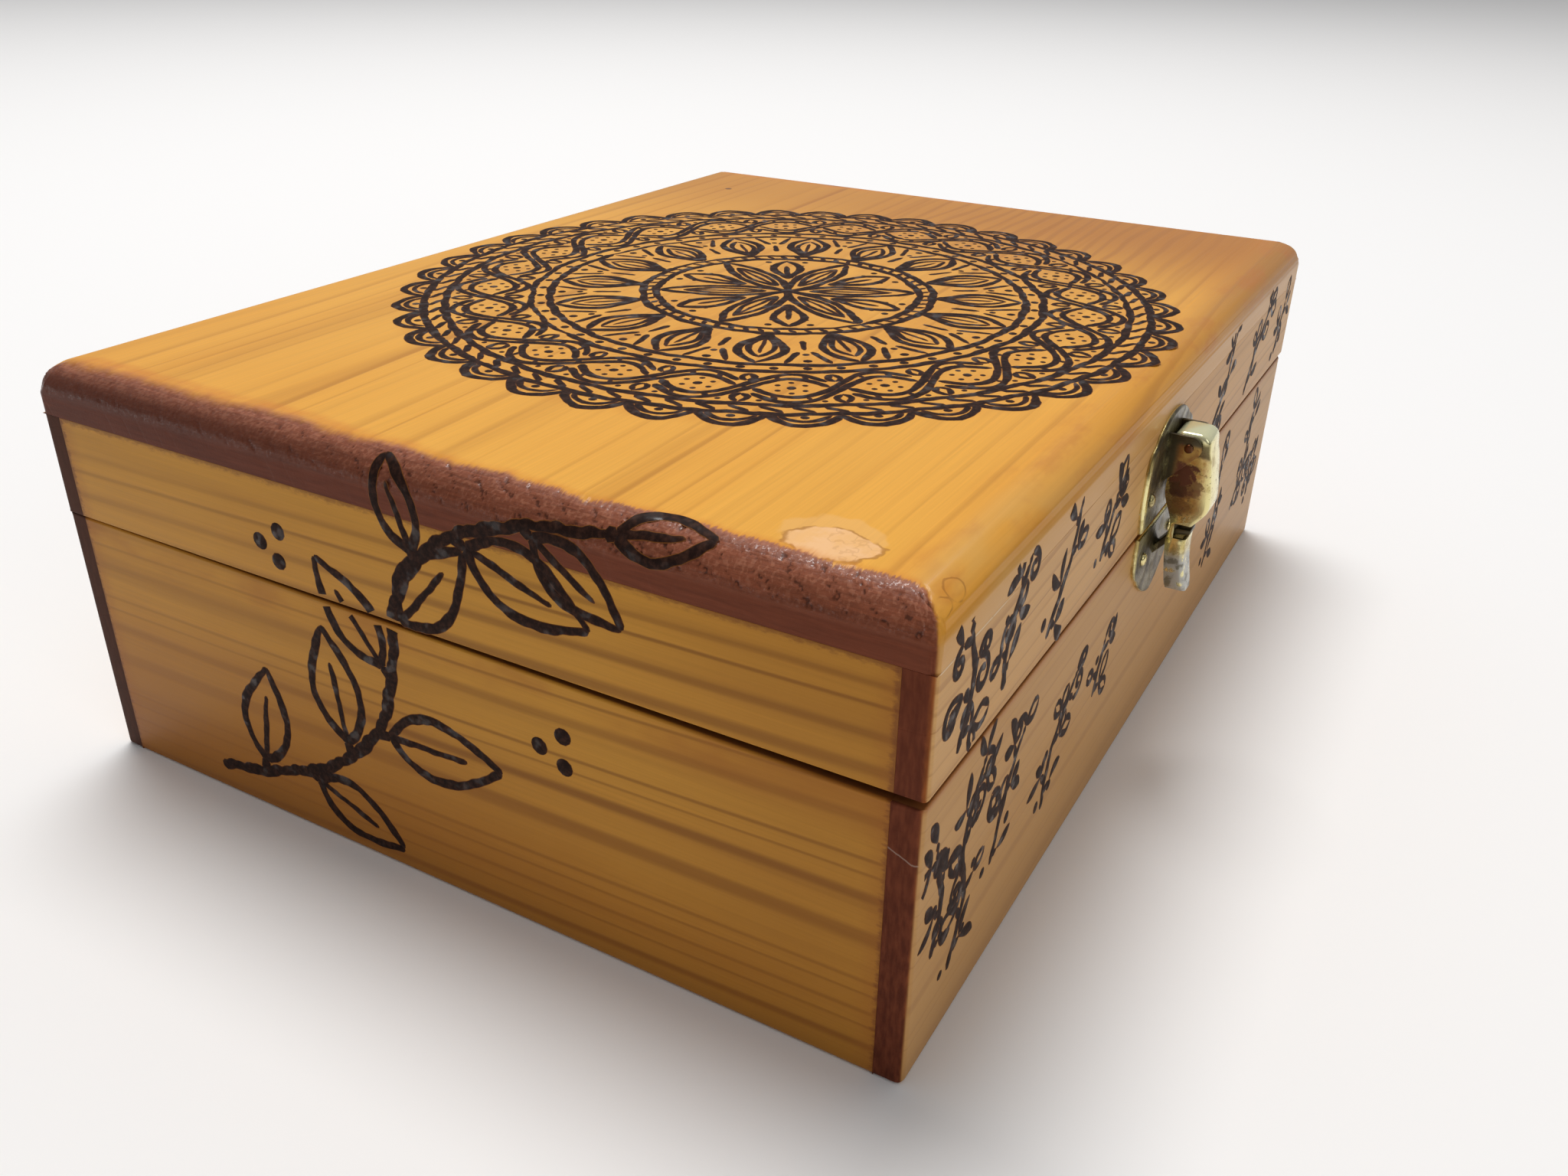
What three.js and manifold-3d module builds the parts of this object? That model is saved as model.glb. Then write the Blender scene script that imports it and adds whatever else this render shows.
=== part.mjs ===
// A hinged keepsake box of thin softwood boards, with a stamped brass catch at the front.
// Units are millimetres. X runs along the front, Y from the front to the back, Z up.
// The origin is the centre of the underside.

import * as THREE from 'three';
import { mergeVertices } from 'three/addons/utils/BufferGeometryUtils.js';
import Module from 'manifold-3d';

const wasm = await Module();
wasm.setup();

// The box
const boxLength = 240;
const lidDepth = 184;
const boxHeight = 85;
const seamHeight = 54;
const seamGap = 0.7;
const lidOverhang = 0.35;
const wallThickness = 5;
const topThickness = 10.3;
const bottomThickness = 4;
const topEdgeRadius = 6;
const arrisRadius = 0.8;

// Nails of the hinges and of the catch
const nailRadius = 0.55;
const nailLength = 4;
const nailPoint = 1.2;
const nailHeadRadius = 1.4;
const nailHeadHeight = 0.8;
const nailClearance = 0.15;
const seatGap = 0.1;

// The hinges
const hingeSpacing = 150;
const leafLength = 30;
const leafHeight = 11;
const leafThickness = 0.9;
const leafCornerRadius = 1.5;
const barrelRadius = 2;
const barrelStandoff = 2.3;
const knuckleCount = 5;
const knuckleGap = 0.3;
const leafNotchGap = 0.4;
const hingePinRadius = 0.9;
const hingePinClearance = 0.1;
const hingePinOverhang = 0.4;
const hingeNailSpacing = 18;
const hingeNailDrop = 6.9;

// The catch, measured from its centre line and up or down from the seam
const catchOffset = -5;
const plateThickness = 0.9;
const plateBevel = 0.35;
const plateSeamGap = 0.9;
const lidPlateHalfWidth = 16.4;
const lidPlateHeight = 21.2;
const lidNailSpacing = 24.6;
const lidNailRise = 7.2;
const basePlateHalfWidth = 14.6;
const basePlateHeight = 17;
const baseNailSpacing = 19.6;
const baseNailDrop = 6.6;

// The catch lever, a folded sheet with two cheeks, and the ears that carry it
const leverWidth = 8;
const leverSheet = 0.8;
const leverNoseRadius = 3.6;
const leverNoseHeight = 2.7;
const leverNoseCorner = 2;
const leverPivotRise = 16.4;
const leverReach = 31.6;
const leverBulge = 5.4;
const leverPlateGap = 0.5;
const leverSlotDrop = 18.3;
const leverSlotHeight = 3.3;
const leverSlotDepth = 0.6;
const earThickness = 0.8;
const earRadius = 2.4;
const earFoot = 8.4;
const earGap = 0.3;
const earSlopeAngle = Math.PI / 6;
const pivotPinRadius = 0.9;
const pivotPinClearance = 0.1;
const pivotPinOverhang = 0.5;

// The hook of the base plate, a bent tongue that the lever snaps over
const hookWidth = 4;
const hookReach = 6.9;
const hookRoot = 9.6;

// Pins end in a small chamfer, and cutting shapes run past what they cut
const pinChamfer = 0.25;
const overrun = 2;

// Facets
const curveSteps = 8;
const bevelSteps = 3;
const roundSides = 24;
const nailSides = 12;
const profileSteps = 28;

// Outlines as shares, chosen by hand. Plates: of half width and of height, from the seam outwards.
const lidPlateShares = {
  foot: [0.92, 0],
  side: [1, 0.25],
  shoulder: [0.975, 0.49],
  shoulderPull: [0.96, 0.76],
  archStart: [0.71, 0.8],
  archPull: [0.44, 1],
  crown: [0, 1],
};
const basePlateShares = {
  foot: [0.97, 0],
  side: [1, 0.18],
  shoulder: [0.99, 0.38],
  shoulderPull: [0.94, 0.53],
  archStart: [0.77, 0.61],
  archPull: [0.4, 0.94],
  crown: [0, 1],
};
// Lever, seen from the side: of bulge outwards from the pivot and of reach down from it.
const leverFrontShares = [[0.8, 0.08], [0.9, 0.21], [1, 0.34], [0.985, 0.41], [0.8, 0.465],
  [0.44, 0.55], [0.37, 0.64], [0.41, 0.8], [0.58, 0.96]];
const leverBackShares = [[-0.62, 0.19], [-0.62, 0.34], [-0.28, 0.52], [-0.36, 0.67], [-0.2, 0.92],
  [-0.12, 1]];
// Lever, seen from the front: of half width, and of reach down from the pivot.
const leverWidthShares = [[0.97, -0.2], [1, 0], [1, 0.35], [0.86, 0.6], [0.84, 0.75], [0.78, 0.9],
  [0.5, 1.02]];
// Hook: of reach outwards from the plate's face, and of root height down from the seam.
const hookShares = [[0, 0.9], [0.42, 0.54], [0.6, 0.34], [1, 0.28], [1, 0.19], [0.56, 0.2],
  [0.3, 0.42], [0, 0.7]];

// Worked out from the sizes above
const halfLength = boxLength / 2;
const lidHalfDepth = lidDepth / 2;
const baseHalfDepth = lidHalfDepth - lidOverhang;
const baseTop = seamHeight - seamGap / 2;
const lidBottom = seamHeight + seamGap / 2;
const topBoardBottom = boxHeight - topThickness;
const hingeAxisY = lidHalfDepth + barrelStandoff;
const pivotStandoff = plateThickness + leverPlateGap + leverNoseRadius;
const pivotY = -lidHalfDepth - pivotStandoff;
const pivotZ = seamHeight + leverPivotRise;
const quarterTurn = Math.PI / 2;

// Frames for extrusions: the first two axes carry the outline, the third is the way it is pushed
const upward = new THREE.Matrix4();
const alongX = new THREE.Matrix4().makeBasis(
  new THREE.Vector3(0, 1, 0), new THREE.Vector3(0, 0, 1), new THREE.Vector3(1, 0, 0));
const outOfFront = new THREE.Matrix4().makeBasis(
  new THREE.Vector3(1, 0, 0), new THREE.Vector3(0, 0, 1), new THREE.Vector3(0, -1, 0));

// Materials, one per finish
const finishes = {
  topWood: { color: 0xd9963f, roughness: 0.35, metalness: 0 },
  frontWood: { color: 0xb98d5c, roughness: 0.45, metalness: 0 },
  endWood: { color: 0x9a6c33, roughness: 0.45, metalness: 0 },
  panelWood: { color: 0xc79a63, roughness: 0.7, metalness: 0 },
  brass: { color: 0xb9a45e, roughness: 0.25, metalness: 1 },
  wornBrass: { color: 0xa8a083, roughness: 0.3, metalness: 1 },
  pinSteel: { color: 0x8d8f92, roughness: 0.4, metalness: 1 },
};

function toSolid(geometry) {
  const bare = geometry.clone();
  bare.deleteAttribute('normal');
  bare.deleteAttribute('uv');
  const merged = mergeVertices(bare);
  const corners = merged.index.array;
  const kept = [];
  for (let i = 0; i < corners.length; i += 3) {
    const [a, b, c] = [corners[i], corners[i + 1], corners[i + 2]];
    if (a !== b && b !== c && c !== a) kept.push(a, b, c);
  }
  return new wasm.Manifold(new wasm.Mesh({
    numProp: 3,
    vertProperties: Float32Array.from(merged.attributes.position.array),
    triVerts: Uint32Array.from(kept),
  }));
}

function toGeometry(solid) {
  const mesh = solid.getMesh();
  const geometry = new THREE.BufferGeometry();
  geometry.setAttribute('position', new THREE.BufferAttribute(Float32Array.from(mesh.vertProperties), 3));
  geometry.setIndex(new THREE.BufferAttribute(Uint32Array.from(mesh.triVerts), 1));
  geometry.computeVertexNormals();
  return geometry;
}

function block(low, high) {
  const size = high.map((value, i) => value - low[i]);
  const middle = high.map((value, i) => (value + low[i]) / 2);
  return toSolid(new THREE.BoxGeometry(...size).translate(...middle));
}

function extruded(shape, frame, depth, start, bevel = 0) {
  const geometry = new THREE.ExtrudeGeometry(shape, {
    depth: depth - 2 * bevel,
    curveSegments: curveSteps,
    bevelEnabled: bevel > 0,
    bevelThickness: bevel,
    bevelSize: bevel,
    bevelOffset: -bevel,
    bevelSegments: bevelSteps,
  });
  geometry.translate(0, 0, start + bevel);
  return geometry.applyMatrix4(frame);
}

function cylinderAlongX(radius, low, high, y, z, sides) {
  const geometry = new THREE.CylinderGeometry(radius, radius, high - low, sides);
  geometry.rotateZ(-quarterTurn);
  return toSolid(geometry.translate((low + high) / 2, y, z));
}

// A rectangle with one radius at its lower corners and another at its upper ones
function softRectangle(halfWidth, bottom, top, lowRadius, highRadius) {
  const shape = new THREE.Shape();
  shape.moveTo(lowRadius - halfWidth, bottom);
  shape.absarc(halfWidth - lowRadius, bottom + lowRadius, lowRadius, -quarterTurn, 0);
  shape.absarc(halfWidth - highRadius, top - highRadius, highRadius, 0, quarterTurn);
  shape.absarc(highRadius - halfWidth, top - highRadius, highRadius, quarterTurn, 2 * quarterTurn);
  shape.absarc(lowRadius - halfWidth, bottom + lowRadius, lowRadius, 2 * quarterTurn, 3 * quarterTurn);
  return shape;
}

// A block with softened corners, lower edges and upper edges, from which boards are sawn
function softBlock(halfDepth, bottom, top, highRadius) {
  const plan = softRectangle(halfLength, -halfDepth, halfDepth, arrisRadius, arrisRadius);
  const front = softRectangle(halfLength, bottom, top, arrisRadius, highRadius);
  const side = softRectangle(halfDepth, bottom, top, arrisRadius, highRadius);
  return toSolid(extruded(plan, upward, top - bottom, bottom))
    .intersect(toSolid(extruded(front, outOfFront, 2 * halfDepth, -halfDepth)))
    .intersect(toSolid(extruded(side, alongX, 2 * halfLength, -halfLength)));
}

// The four walls of the base or of the lid: front and back run through, the ends stand between them
function walls(form, halfDepth, bottom, top) {
  const inner = halfDepth - wallThickness;
  const innerEnd = halfLength - wallThickness;
  return {
    front: form.intersect(block([-halfLength, -halfDepth, bottom], [halfLength, -inner, top])),
    back: form.intersect(block([-halfLength, inner, bottom], [halfLength, halfDepth, top])),
    left: form.intersect(block([-halfLength, -inner, bottom], [-innerEnd, inner, top])),
    right: form.intersect(block([innerEnd, -inner, bottom], [halfLength, inner, top])),
  };
}

// A nail along Y: its head's underside at zero, its point towards +Y
function nailGeometry() {
  const profile = [];
  for (let i = 0; i <= curveSteps; i += 1) {
    const angle = (quarterTurn * i) / curveSteps;
    profile.push(new THREE.Vector2(nailHeadRadius * Math.sin(angle), -nailHeadHeight * Math.cos(angle)));
  }
  profile.push(new THREE.Vector2(nailRadius, 0));
  profile.push(new THREE.Vector2(nailRadius, nailLength - nailPoint));
  profile.push(new THREE.Vector2(0, nailLength));
  return new THREE.LatheGeometry(profile, nailSides);
}

// The hole of a nail that enters at y, towards the given side
function nailHole(x, y, z, side) {
  const length = nailLength + nailClearance + overrun;
  const geometry = new THREE.CylinderGeometry(
    nailRadius + nailClearance, nailRadius + nailClearance, length, nailSides);
  return toSolid(geometry.translate(x, y + side * (length / 2 - overrun), z));
}

// A pin along X with chamfered ends
function pinGeometry(radius, length) {
  const half = length / 2;
  const profile = [[0, -half], [radius - pinChamfer, -half], [radius, pinChamfer - half],
    [radius, half - pinChamfer], [radius - pinChamfer, half], [0, half]];
  const points = profile.map(([r, y]) => new THREE.Vector2(r, y));
  return new THREE.LatheGeometry(points, roundSides).rotateZ(-quarterTurn);
}

function addPiece(group, name, geometry, finish, position = null) {
  const mesh = new THREE.Mesh(geometry, new THREE.MeshStandardMaterial(finishes[finish]));
  mesh.name = name;
  mesh.position.copy(position ?? new THREE.Vector3()).sub(group.userData.pivot);
  group.add(mesh);
}

// A group that turns about its own origin
function movingGroup(parent, pivot) {
  const group = new THREE.Group();
  group.userData.pivot = pivot;
  group.position.copy(pivot);
  if (parent) group.position.sub(parent.userData.pivot);
  if (parent) parent.add(group);
  return group;
}

const box = movingGroup(null, new THREE.Vector3());
const base = movingGroup(box, new THREE.Vector3());
const lid = movingGroup(box, new THREE.Vector3(0, hingeAxisY, seamHeight));
const lever = movingGroup(lid, new THREE.Vector3(catchOffset, pivotY, pivotZ));

// Every nail is planned first, because the boards and sheets are drilled for it
const nails = [];

// Two nails side by side through a sheet on the given face; side is 1 at the front and -1 at the back
function planNails(group, name, sheet, faceY, middleX, spacing, z, side) {
  const headY = faceY - side * (sheet + seatGap);
  [middleX - spacing / 2, middleX + spacing / 2].forEach((x, i) => {
    nails.push({ group, name: `${name}_${i + 1}`, x, headY, z, side });
  });
}

const hingeCentres = { left: -hingeSpacing / 2, right: hingeSpacing / 2 };
for (const [side, centre] of Object.entries(hingeCentres)) {
  planNails(base, `hinge_${side}_base_nail`, leafThickness, baseHalfDepth,
    centre, hingeNailSpacing, seamHeight - hingeNailDrop, -1);
  planNails(lid, `hinge_${side}_lid_nail`, leafThickness, lidHalfDepth,
    centre, hingeNailSpacing, seamHeight + hingeNailDrop, -1);
}
planNails(lid, 'catch_lid_nail', plateThickness, -lidHalfDepth,
  catchOffset, lidNailSpacing, seamHeight + lidNailRise, 1);
planNails(base, 'catch_base_nail', plateThickness, -baseHalfDepth,
  catchOffset, baseNailSpacing, seamHeight - baseNailDrop, 1);

function drilled(solid, holders) {
  const holes = holders.map((nail) => nailHole(nail.x, nail.headY, nail.z, nail.side));
  return holes.reduce((rest, hole) => rest.subtract(hole), solid);
}

function nailsOf(group, side) {
  return nails.filter((nail) => nail.group === group && nail.side === side);
}

// Base: four walls and a panel let in between them
const baseWalls = walls(softBlock(baseHalfDepth, 0, baseTop, arrisRadius), baseHalfDepth, 0, baseTop);
addPiece(base, 'base_front_board', toGeometry(drilled(baseWalls.front, nailsOf(base, 1))), 'frontWood');
addPiece(base, 'base_back_board', toGeometry(drilled(baseWalls.back, nailsOf(base, -1))), 'frontWood');
addPiece(base, 'base_left_end_board', toGeometry(baseWalls.left), 'endWood');
addPiece(base, 'base_right_end_board', toGeometry(baseWalls.right), 'endWood');
const panelGeometry = new THREE.BoxGeometry(
  2 * (halfLength - wallThickness), 2 * (baseHalfDepth - wallThickness), bottomThickness);
const panelMiddle = new THREE.Vector3(0, 0, bottomThickness / 2);
addPiece(base, 'base_bottom_panel', panelGeometry, 'panelWood', panelMiddle);

// Lid: four walls under one rounded top board
const lidForm = softBlock(lidHalfDepth, lidBottom, boxHeight, topEdgeRadius);
const lidWalls = walls(lidForm, lidHalfDepth, lidBottom, topBoardBottom);
const topBoard = lidForm.intersect(
  block([-halfLength, -lidHalfDepth, topBoardBottom], [halfLength, lidHalfDepth, boxHeight]));
const lidNails = nails.filter((nail) => nail.group === lid);
addPiece(lid, 'lid_top_board', toGeometry(drilled(topBoard, lidNails)), 'topWood');
addPiece(lid, 'lid_front_board', toGeometry(drilled(lidWalls.front, nailsOf(lid, 1))), 'frontWood');
addPiece(lid, 'lid_back_board', toGeometry(drilled(lidWalls.back, nailsOf(lid, -1))), 'frontWood');
addPiece(lid, 'lid_left_end_board', toGeometry(lidWalls.left), 'endWood');
addPiece(lid, 'lid_right_end_board', toGeometry(lidWalls.right), 'endWood');

// One leaf of a hinge. Knuckles with even numbers are the base leaf's, odd ones the lid leaf's.
function hingeLeaf(centre, seatY, upSign, parity) {
  const outerY = lidHalfDepth + leafThickness;
  const knuckleLength = leafLength / knuckleCount;
  const near = seamHeight;
  const far = seamHeight + upSign * leafHeight;
  const outline = softRectangle(leafLength / 2, Math.min(near, far), Math.max(near, far),
    leafCornerRadius, leafCornerRadius);
  const sheet = extruded(outline, outOfFront, leafThickness, -seatY - leafThickness);
  let leaf = toSolid(sheet.translate(centre, 0, 0));
  for (let i = 0; i < knuckleCount; i += 1) {
    const low = centre - leafLength / 2 + i * knuckleLength;
    const high = low + knuckleLength;
    if (i % 2 === parity) {
      const start = low + knuckleGap / 2;
      const end = high - knuckleGap / 2;
      const rootLow = upSign > 0 ? seamHeight : seamHeight - barrelRadius;
      leaf = leaf
        .add(block([start, seatY, rootLow], [end, outerY, rootLow + barrelRadius]))
        .add(cylinderAlongX(barrelRadius, start, end, hingeAxisY, seamHeight, roundSides));
    } else {
      const reach = barrelRadius + leafNotchGap;
      const notchLow = seamHeight - (upSign > 0 ? overrun : reach);
      const notchHigh = seamHeight + (upSign > 0 ? reach : overrun);
      leaf = leaf.subtract(block(
        [low - knuckleGap / 2, seatY - overrun, notchLow],
        [high + knuckleGap / 2, outerY + overrun, notchHigh]));
    }
  }
  const boreHalf = leafLength / 2 + overrun;
  const bore = cylinderAlongX(hingePinRadius + hingePinClearance,
    centre - boreHalf, centre + boreHalf, hingeAxisY, seamHeight, roundSides);
  return leaf.subtract(bore);
}

for (const [side, centre] of Object.entries(hingeCentres)) {
  const onThis = (nail) => nail.side < 0 && Math.sign(nail.x) === Math.sign(centre);
  const baseLeaf = drilled(hingeLeaf(centre, baseHalfDepth, -1, 0), nailsOf(base, -1).filter(onThis));
  const lidLeaf = drilled(hingeLeaf(centre, lidHalfDepth, 1, 1), nailsOf(lid, -1).filter(onThis));
  addPiece(base, `hinge_${side}_base_leaf`, toGeometry(baseLeaf), 'brass');
  addPiece(lid, `hinge_${side}_lid_leaf`, toGeometry(lidLeaf), 'brass');
  const pin = pinGeometry(hingePinRadius, leafLength + 2 * hingePinOverhang);
  addPiece(base, `hinge_${side}_pin`, pin, 'pinSteel', new THREE.Vector3(centre, hingeAxisY, seamHeight));
}

// A catch plate's outline, symmetrical about X zero, from the seam up or down
function plateShape(shares, halfWidth, height, seamSide) {
  const start = seamHeight + seamSide * plateSeamGap;
  const points = Object.fromEntries(Object.entries(shares).map(([name, [across, along]]) => (
    [name, new THREE.Vector2(across * halfWidth, start + seamSide * along * height)])));
  const right = [points.foot, points.side, points.shoulder];
  const shoulder = new THREE.QuadraticBezierCurve(points.shoulder, points.shoulderPull, points.archStart);
  const arch = new THREE.QuadraticBezierCurve(points.archStart, points.archPull, points.crown);
  right.push(...shoulder.getPoints(curveSteps / 2).slice(1), ...arch.getPoints(curveSteps).slice(1));
  const left = right.slice(0, -1).reverse().map((point) => new THREE.Vector2(-point.x, point.y));
  return new THREE.Shape([...right, ...left]);
}

function catchPlate(shares, halfWidth, height, seamSide, seat) {
  const shape = plateShape(shares, halfWidth, height, seamSide);
  const plate = extruded(shape, outOfFront, plateThickness, seat, plateBevel);
  return toSolid(plate.translate(catchOffset, 0, 0));
}

// An ear of the lid plate: a tab that stands out of the plate and carries the lever's pin
function ear(sideSign) {
  const foot = -lidHalfDepth - plateThickness / 2;
  const shape = new THREE.Shape();
  shape.moveTo(foot, pivotZ + earRadius);
  shape.absarc(pivotY, pivotZ, earRadius, quarterTurn, 2 * quarterTurn + earSlopeAngle);
  shape.lineTo(foot, pivotZ - earFoot);
  const inner = leverWidth / 2 + earGap;
  const start = sideSign > 0 ? inner : -inner - earThickness;
  return toSolid(extruded(shape, alongX, earThickness, catchOffset + start));
}

const pinBore = cylinderAlongX(pivotPinRadius + pivotPinClearance,
  catchOffset - leverWidth, catchOffset + leverWidth, pivotY, pivotZ, roundSides);
const lidPlate = catchPlate(lidPlateShares, lidPlateHalfWidth, lidPlateHeight, 1, lidHalfDepth)
  .add(ear(-1))
  .add(ear(1))
  .subtract(pinBore);
addPiece(lid, 'catch_lid_plate', toGeometry(drilled(lidPlate, nailsOf(lid, 1))), 'brass');
const pivotPinLength = leverWidth + 2 * (earGap + earThickness + pivotPinOverhang);
addPiece(lid, 'catch_pivot_pin', pinGeometry(pivotPinRadius, pivotPinLength), 'pinSteel',
  new THREE.Vector3(catchOffset, pivotY, pivotZ));

// The base plate with its hook
const hookFoot = baseHalfDepth + plateThickness / 2;
const hookFace = baseHalfDepth + plateThickness;
const hookPoints = hookShares.map(([out, down]) => (
  new THREE.Vector2(-hookFace - out * hookReach, seamHeight - down * hookRoot)));
const [hookHeel, hookThroat] = [hookPoints[0], hookPoints[hookPoints.length - 1]];
const hookShape = new THREE.Shape([
  new THREE.Vector2(-hookFoot, hookHeel.y), ...hookPoints, new THREE.Vector2(-hookFoot, hookThroat.y)]);
const hook = toSolid(extruded(hookShape, alongX, hookWidth, catchOffset - hookWidth / 2));
const basePlate = catchPlate(basePlateShares, basePlateHalfWidth, basePlateHeight, -1, baseHalfDepth)
  .add(hook);
addPiece(base, 'catch_base_plate', toGeometry(drilled(basePlate, nailsOf(base, 1))), 'brass');

// The lever's front line from the top of the pivot to its lip, set in by the given amount
function leverFrontLine(inset) {
  const points = leverFrontShares.map(([out, down]) => (
    new THREE.Vector2(pivotY - out * leverBulge + inset, pivotZ - down * leverReach)));
  points.unshift(new THREE.Vector2(pivotY - leverNoseRadius + inset, pivotZ));
  return new THREE.SplineCurve(points).getPoints(profileSteps);
}

// The top of the lever's side view, over the pivot: level, with two round corners
function addNose(shape, inset) {
  const corner = leverNoseCorner - inset;
  const out = leverNoseRadius - leverNoseCorner;
  const middle = pivotZ + leverNoseHeight - leverNoseCorner;
  shape.absarc(pivotY - out, middle, corner, 2 * quarterTurn, quarterTurn, true);
  shape.absarc(pivotY + out, middle, corner, quarterTurn, 0, true);
}

// The lever's side view: the front line, a lip, a back edge and the nose
function leverSide() {
  const front = leverFrontLine(0);
  const back = leverBackShares.map(([out, down]) => (
    new THREE.Vector2(pivotY - out * leverBulge, pivotZ - down * leverReach)));
  const shape = new THREE.Shape([...back, ...front.reverse()]);
  addNose(shape, 0);
  return shape;
}

// The hollow behind the lever's sheet, open at the back and at the lip
function leverHollow() {
  const front = leverFrontLine(leverSheet);
  const lip = front[front.length - 1];
  const below = lip.y - overrun;
  const behind = pivotY + leverNoseRadius + overrun;
  const shape = new THREE.Shape([
    new THREE.Vector2(pivotY + leverNoseRadius - leverSheet, pivotZ - leverSheet),
    new THREE.Vector2(behind, pivotZ - leverSheet),
    new THREE.Vector2(behind, below),
    new THREE.Vector2(lip.x, below),
    ...front.reverse()]);
  addNose(shape, leverSheet);
  return shape;
}

// The lever's front view, as a solid that trims it to its tapering width
function leverTrim(inset) {
  const right = leverWidthShares.map(([across, down]) => (
    new THREE.Vector2(across * leverWidth / 2 - inset, pivotZ - down * leverReach)));
  const left = right.slice().reverse().map((point) => new THREE.Vector2(-point.x, point.y));
  const depth = 2 * (leverNoseRadius + leverBulge + overrun);
  return toSolid(extruded(new THREE.Shape([...right, ...left]), outOfFront, depth, -pivotY - depth / 2)
    .translate(catchOffset, 0, 0));
}

const leverBody = toSolid(extruded(leverSide(), alongX, leverWidth, catchOffset - leverWidth / 2));
const leverInside = toSolid(extruded(leverHollow(), alongX, leverWidth, catchOffset - leverWidth / 2));
const slotMiddle = pivotZ - leverSlotDrop;
const leverSlot = block(
  [catchOffset - leverWidth, pivotY - leverBulge - overrun, slotMiddle - leverSlotHeight / 2],
  [catchOffset + leverWidth, pivotY + leverSlotDepth, slotMiddle + leverSlotHeight / 2]);
const leverShell = leverBody.intersect(leverTrim(0))
  .subtract(leverInside.intersect(leverTrim(leverSheet)))
  .subtract(leverSlot)
  .subtract(pinBore);
addPiece(lever, 'catch_lever', toGeometry(leverShell), 'wornBrass');

// Nails of the hinges and the catch, turned so that each points into its board
for (const nail of nails) {
  const geometry = nailGeometry();
  if (nail.side < 0) geometry.rotateZ(2 * quarterTurn);
  addPiece(nail.group, nail.name, geometry, 'brass', new THREE.Vector3(nail.x, nail.headY, nail.z));
}

export default box;
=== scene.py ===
# %% [markdown]
# A wooden keepsake box with burnt-in ornament, dressed round its construction model.
# The construction model is loaded first. It holds every board, sheet, nail and pin at its real
# size, and says which of them move together: the base, the lid, and the lever of the catch.
# Everything made below takes its place from it, so nothing has to be fitted by eye.

# %% Load the frame
import bmesh
import bpy
import math
import random
from mathutils import Matrix, Vector, noise


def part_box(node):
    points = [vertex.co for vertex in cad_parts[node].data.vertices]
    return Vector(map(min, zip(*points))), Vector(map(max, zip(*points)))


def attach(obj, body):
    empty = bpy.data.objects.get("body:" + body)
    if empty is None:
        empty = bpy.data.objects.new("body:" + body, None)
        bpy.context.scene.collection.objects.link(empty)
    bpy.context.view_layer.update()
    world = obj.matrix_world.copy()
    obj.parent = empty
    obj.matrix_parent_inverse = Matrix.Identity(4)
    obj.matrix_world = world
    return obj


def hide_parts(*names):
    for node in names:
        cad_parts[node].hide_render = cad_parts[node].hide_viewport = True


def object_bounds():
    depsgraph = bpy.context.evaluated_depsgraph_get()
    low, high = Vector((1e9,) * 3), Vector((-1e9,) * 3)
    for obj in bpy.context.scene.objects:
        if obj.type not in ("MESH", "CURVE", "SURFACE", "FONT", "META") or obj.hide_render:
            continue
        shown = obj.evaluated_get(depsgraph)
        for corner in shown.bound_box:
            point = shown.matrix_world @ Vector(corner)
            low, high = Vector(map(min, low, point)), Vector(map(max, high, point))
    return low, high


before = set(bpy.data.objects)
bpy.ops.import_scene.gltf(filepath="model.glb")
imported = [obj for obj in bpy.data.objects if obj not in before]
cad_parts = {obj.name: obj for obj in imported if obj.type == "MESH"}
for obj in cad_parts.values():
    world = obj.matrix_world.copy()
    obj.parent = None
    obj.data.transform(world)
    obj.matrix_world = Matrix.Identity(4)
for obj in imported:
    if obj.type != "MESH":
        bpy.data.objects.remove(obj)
CAD_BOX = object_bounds()
MM = 0.001

# %% [markdown]
# The camera stands near the left front corner, a little above the box, as close as a hand-held
# telephone is. A short distance is what makes the near corner look so large, so the place
# matters more here than the direction alone. The direction is given by three angles, and the
# camera's axes are worked out from them.

# %% Camera
VIEW_AZIMUTH = math.radians(29.077)
VIEW_DOWN = math.radians(27.695)
VIEW_ROLL = math.radians(1.129)
CAMERA_PLACE = Vector((-256.471, -145.095, 163.57)) * MM
FOCAL_SHARE = 0.8407
SENSOR_WIDTH = 36.0

forward = Vector((
    math.cos(VIEW_DOWN) * math.cos(VIEW_AZIMUTH),
    math.cos(VIEW_DOWN) * math.sin(VIEW_AZIMUTH),
    -math.sin(VIEW_DOWN)))
level = forward.cross(Vector((0, 0, 1))).normalized()
right = level * math.cos(VIEW_ROLL) + level.cross(forward) * math.sin(VIEW_ROLL)
camera_axes = Matrix((right, right.cross(forward), -forward)).transposed()

camera = bpy.data.objects.new("camera", bpy.data.cameras.new("camera"))
camera.data.sensor_width = SENSOR_WIDTH
camera.data.lens = FOCAL_SHARE * SENSOR_WIDTH
camera.data.clip_start = 0.01
camera.matrix_world = Matrix.Translation(CAMERA_PLACE) @ camera_axes.to_4x4()
bpy.context.scene.collection.objects.link(camera)
bpy.context.scene.camera = camera
bpy.context.scene.view_settings.view_transform = "Standard"
print("camera lens:", round(camera.data.lens, 2), "mm")

# %% [markdown]
# The box stands on a plain pale floor under one broad soft lamp, with a soft sky to lift the
# shadows. The lamp hangs high and a little behind, so the top is the lightest side and the two
# visible walls are darker, as on a table under a ceiling light. The sky is pale behind the box
# and dim on the near side, because polished metal shows its form only by what it mirrors.

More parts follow.
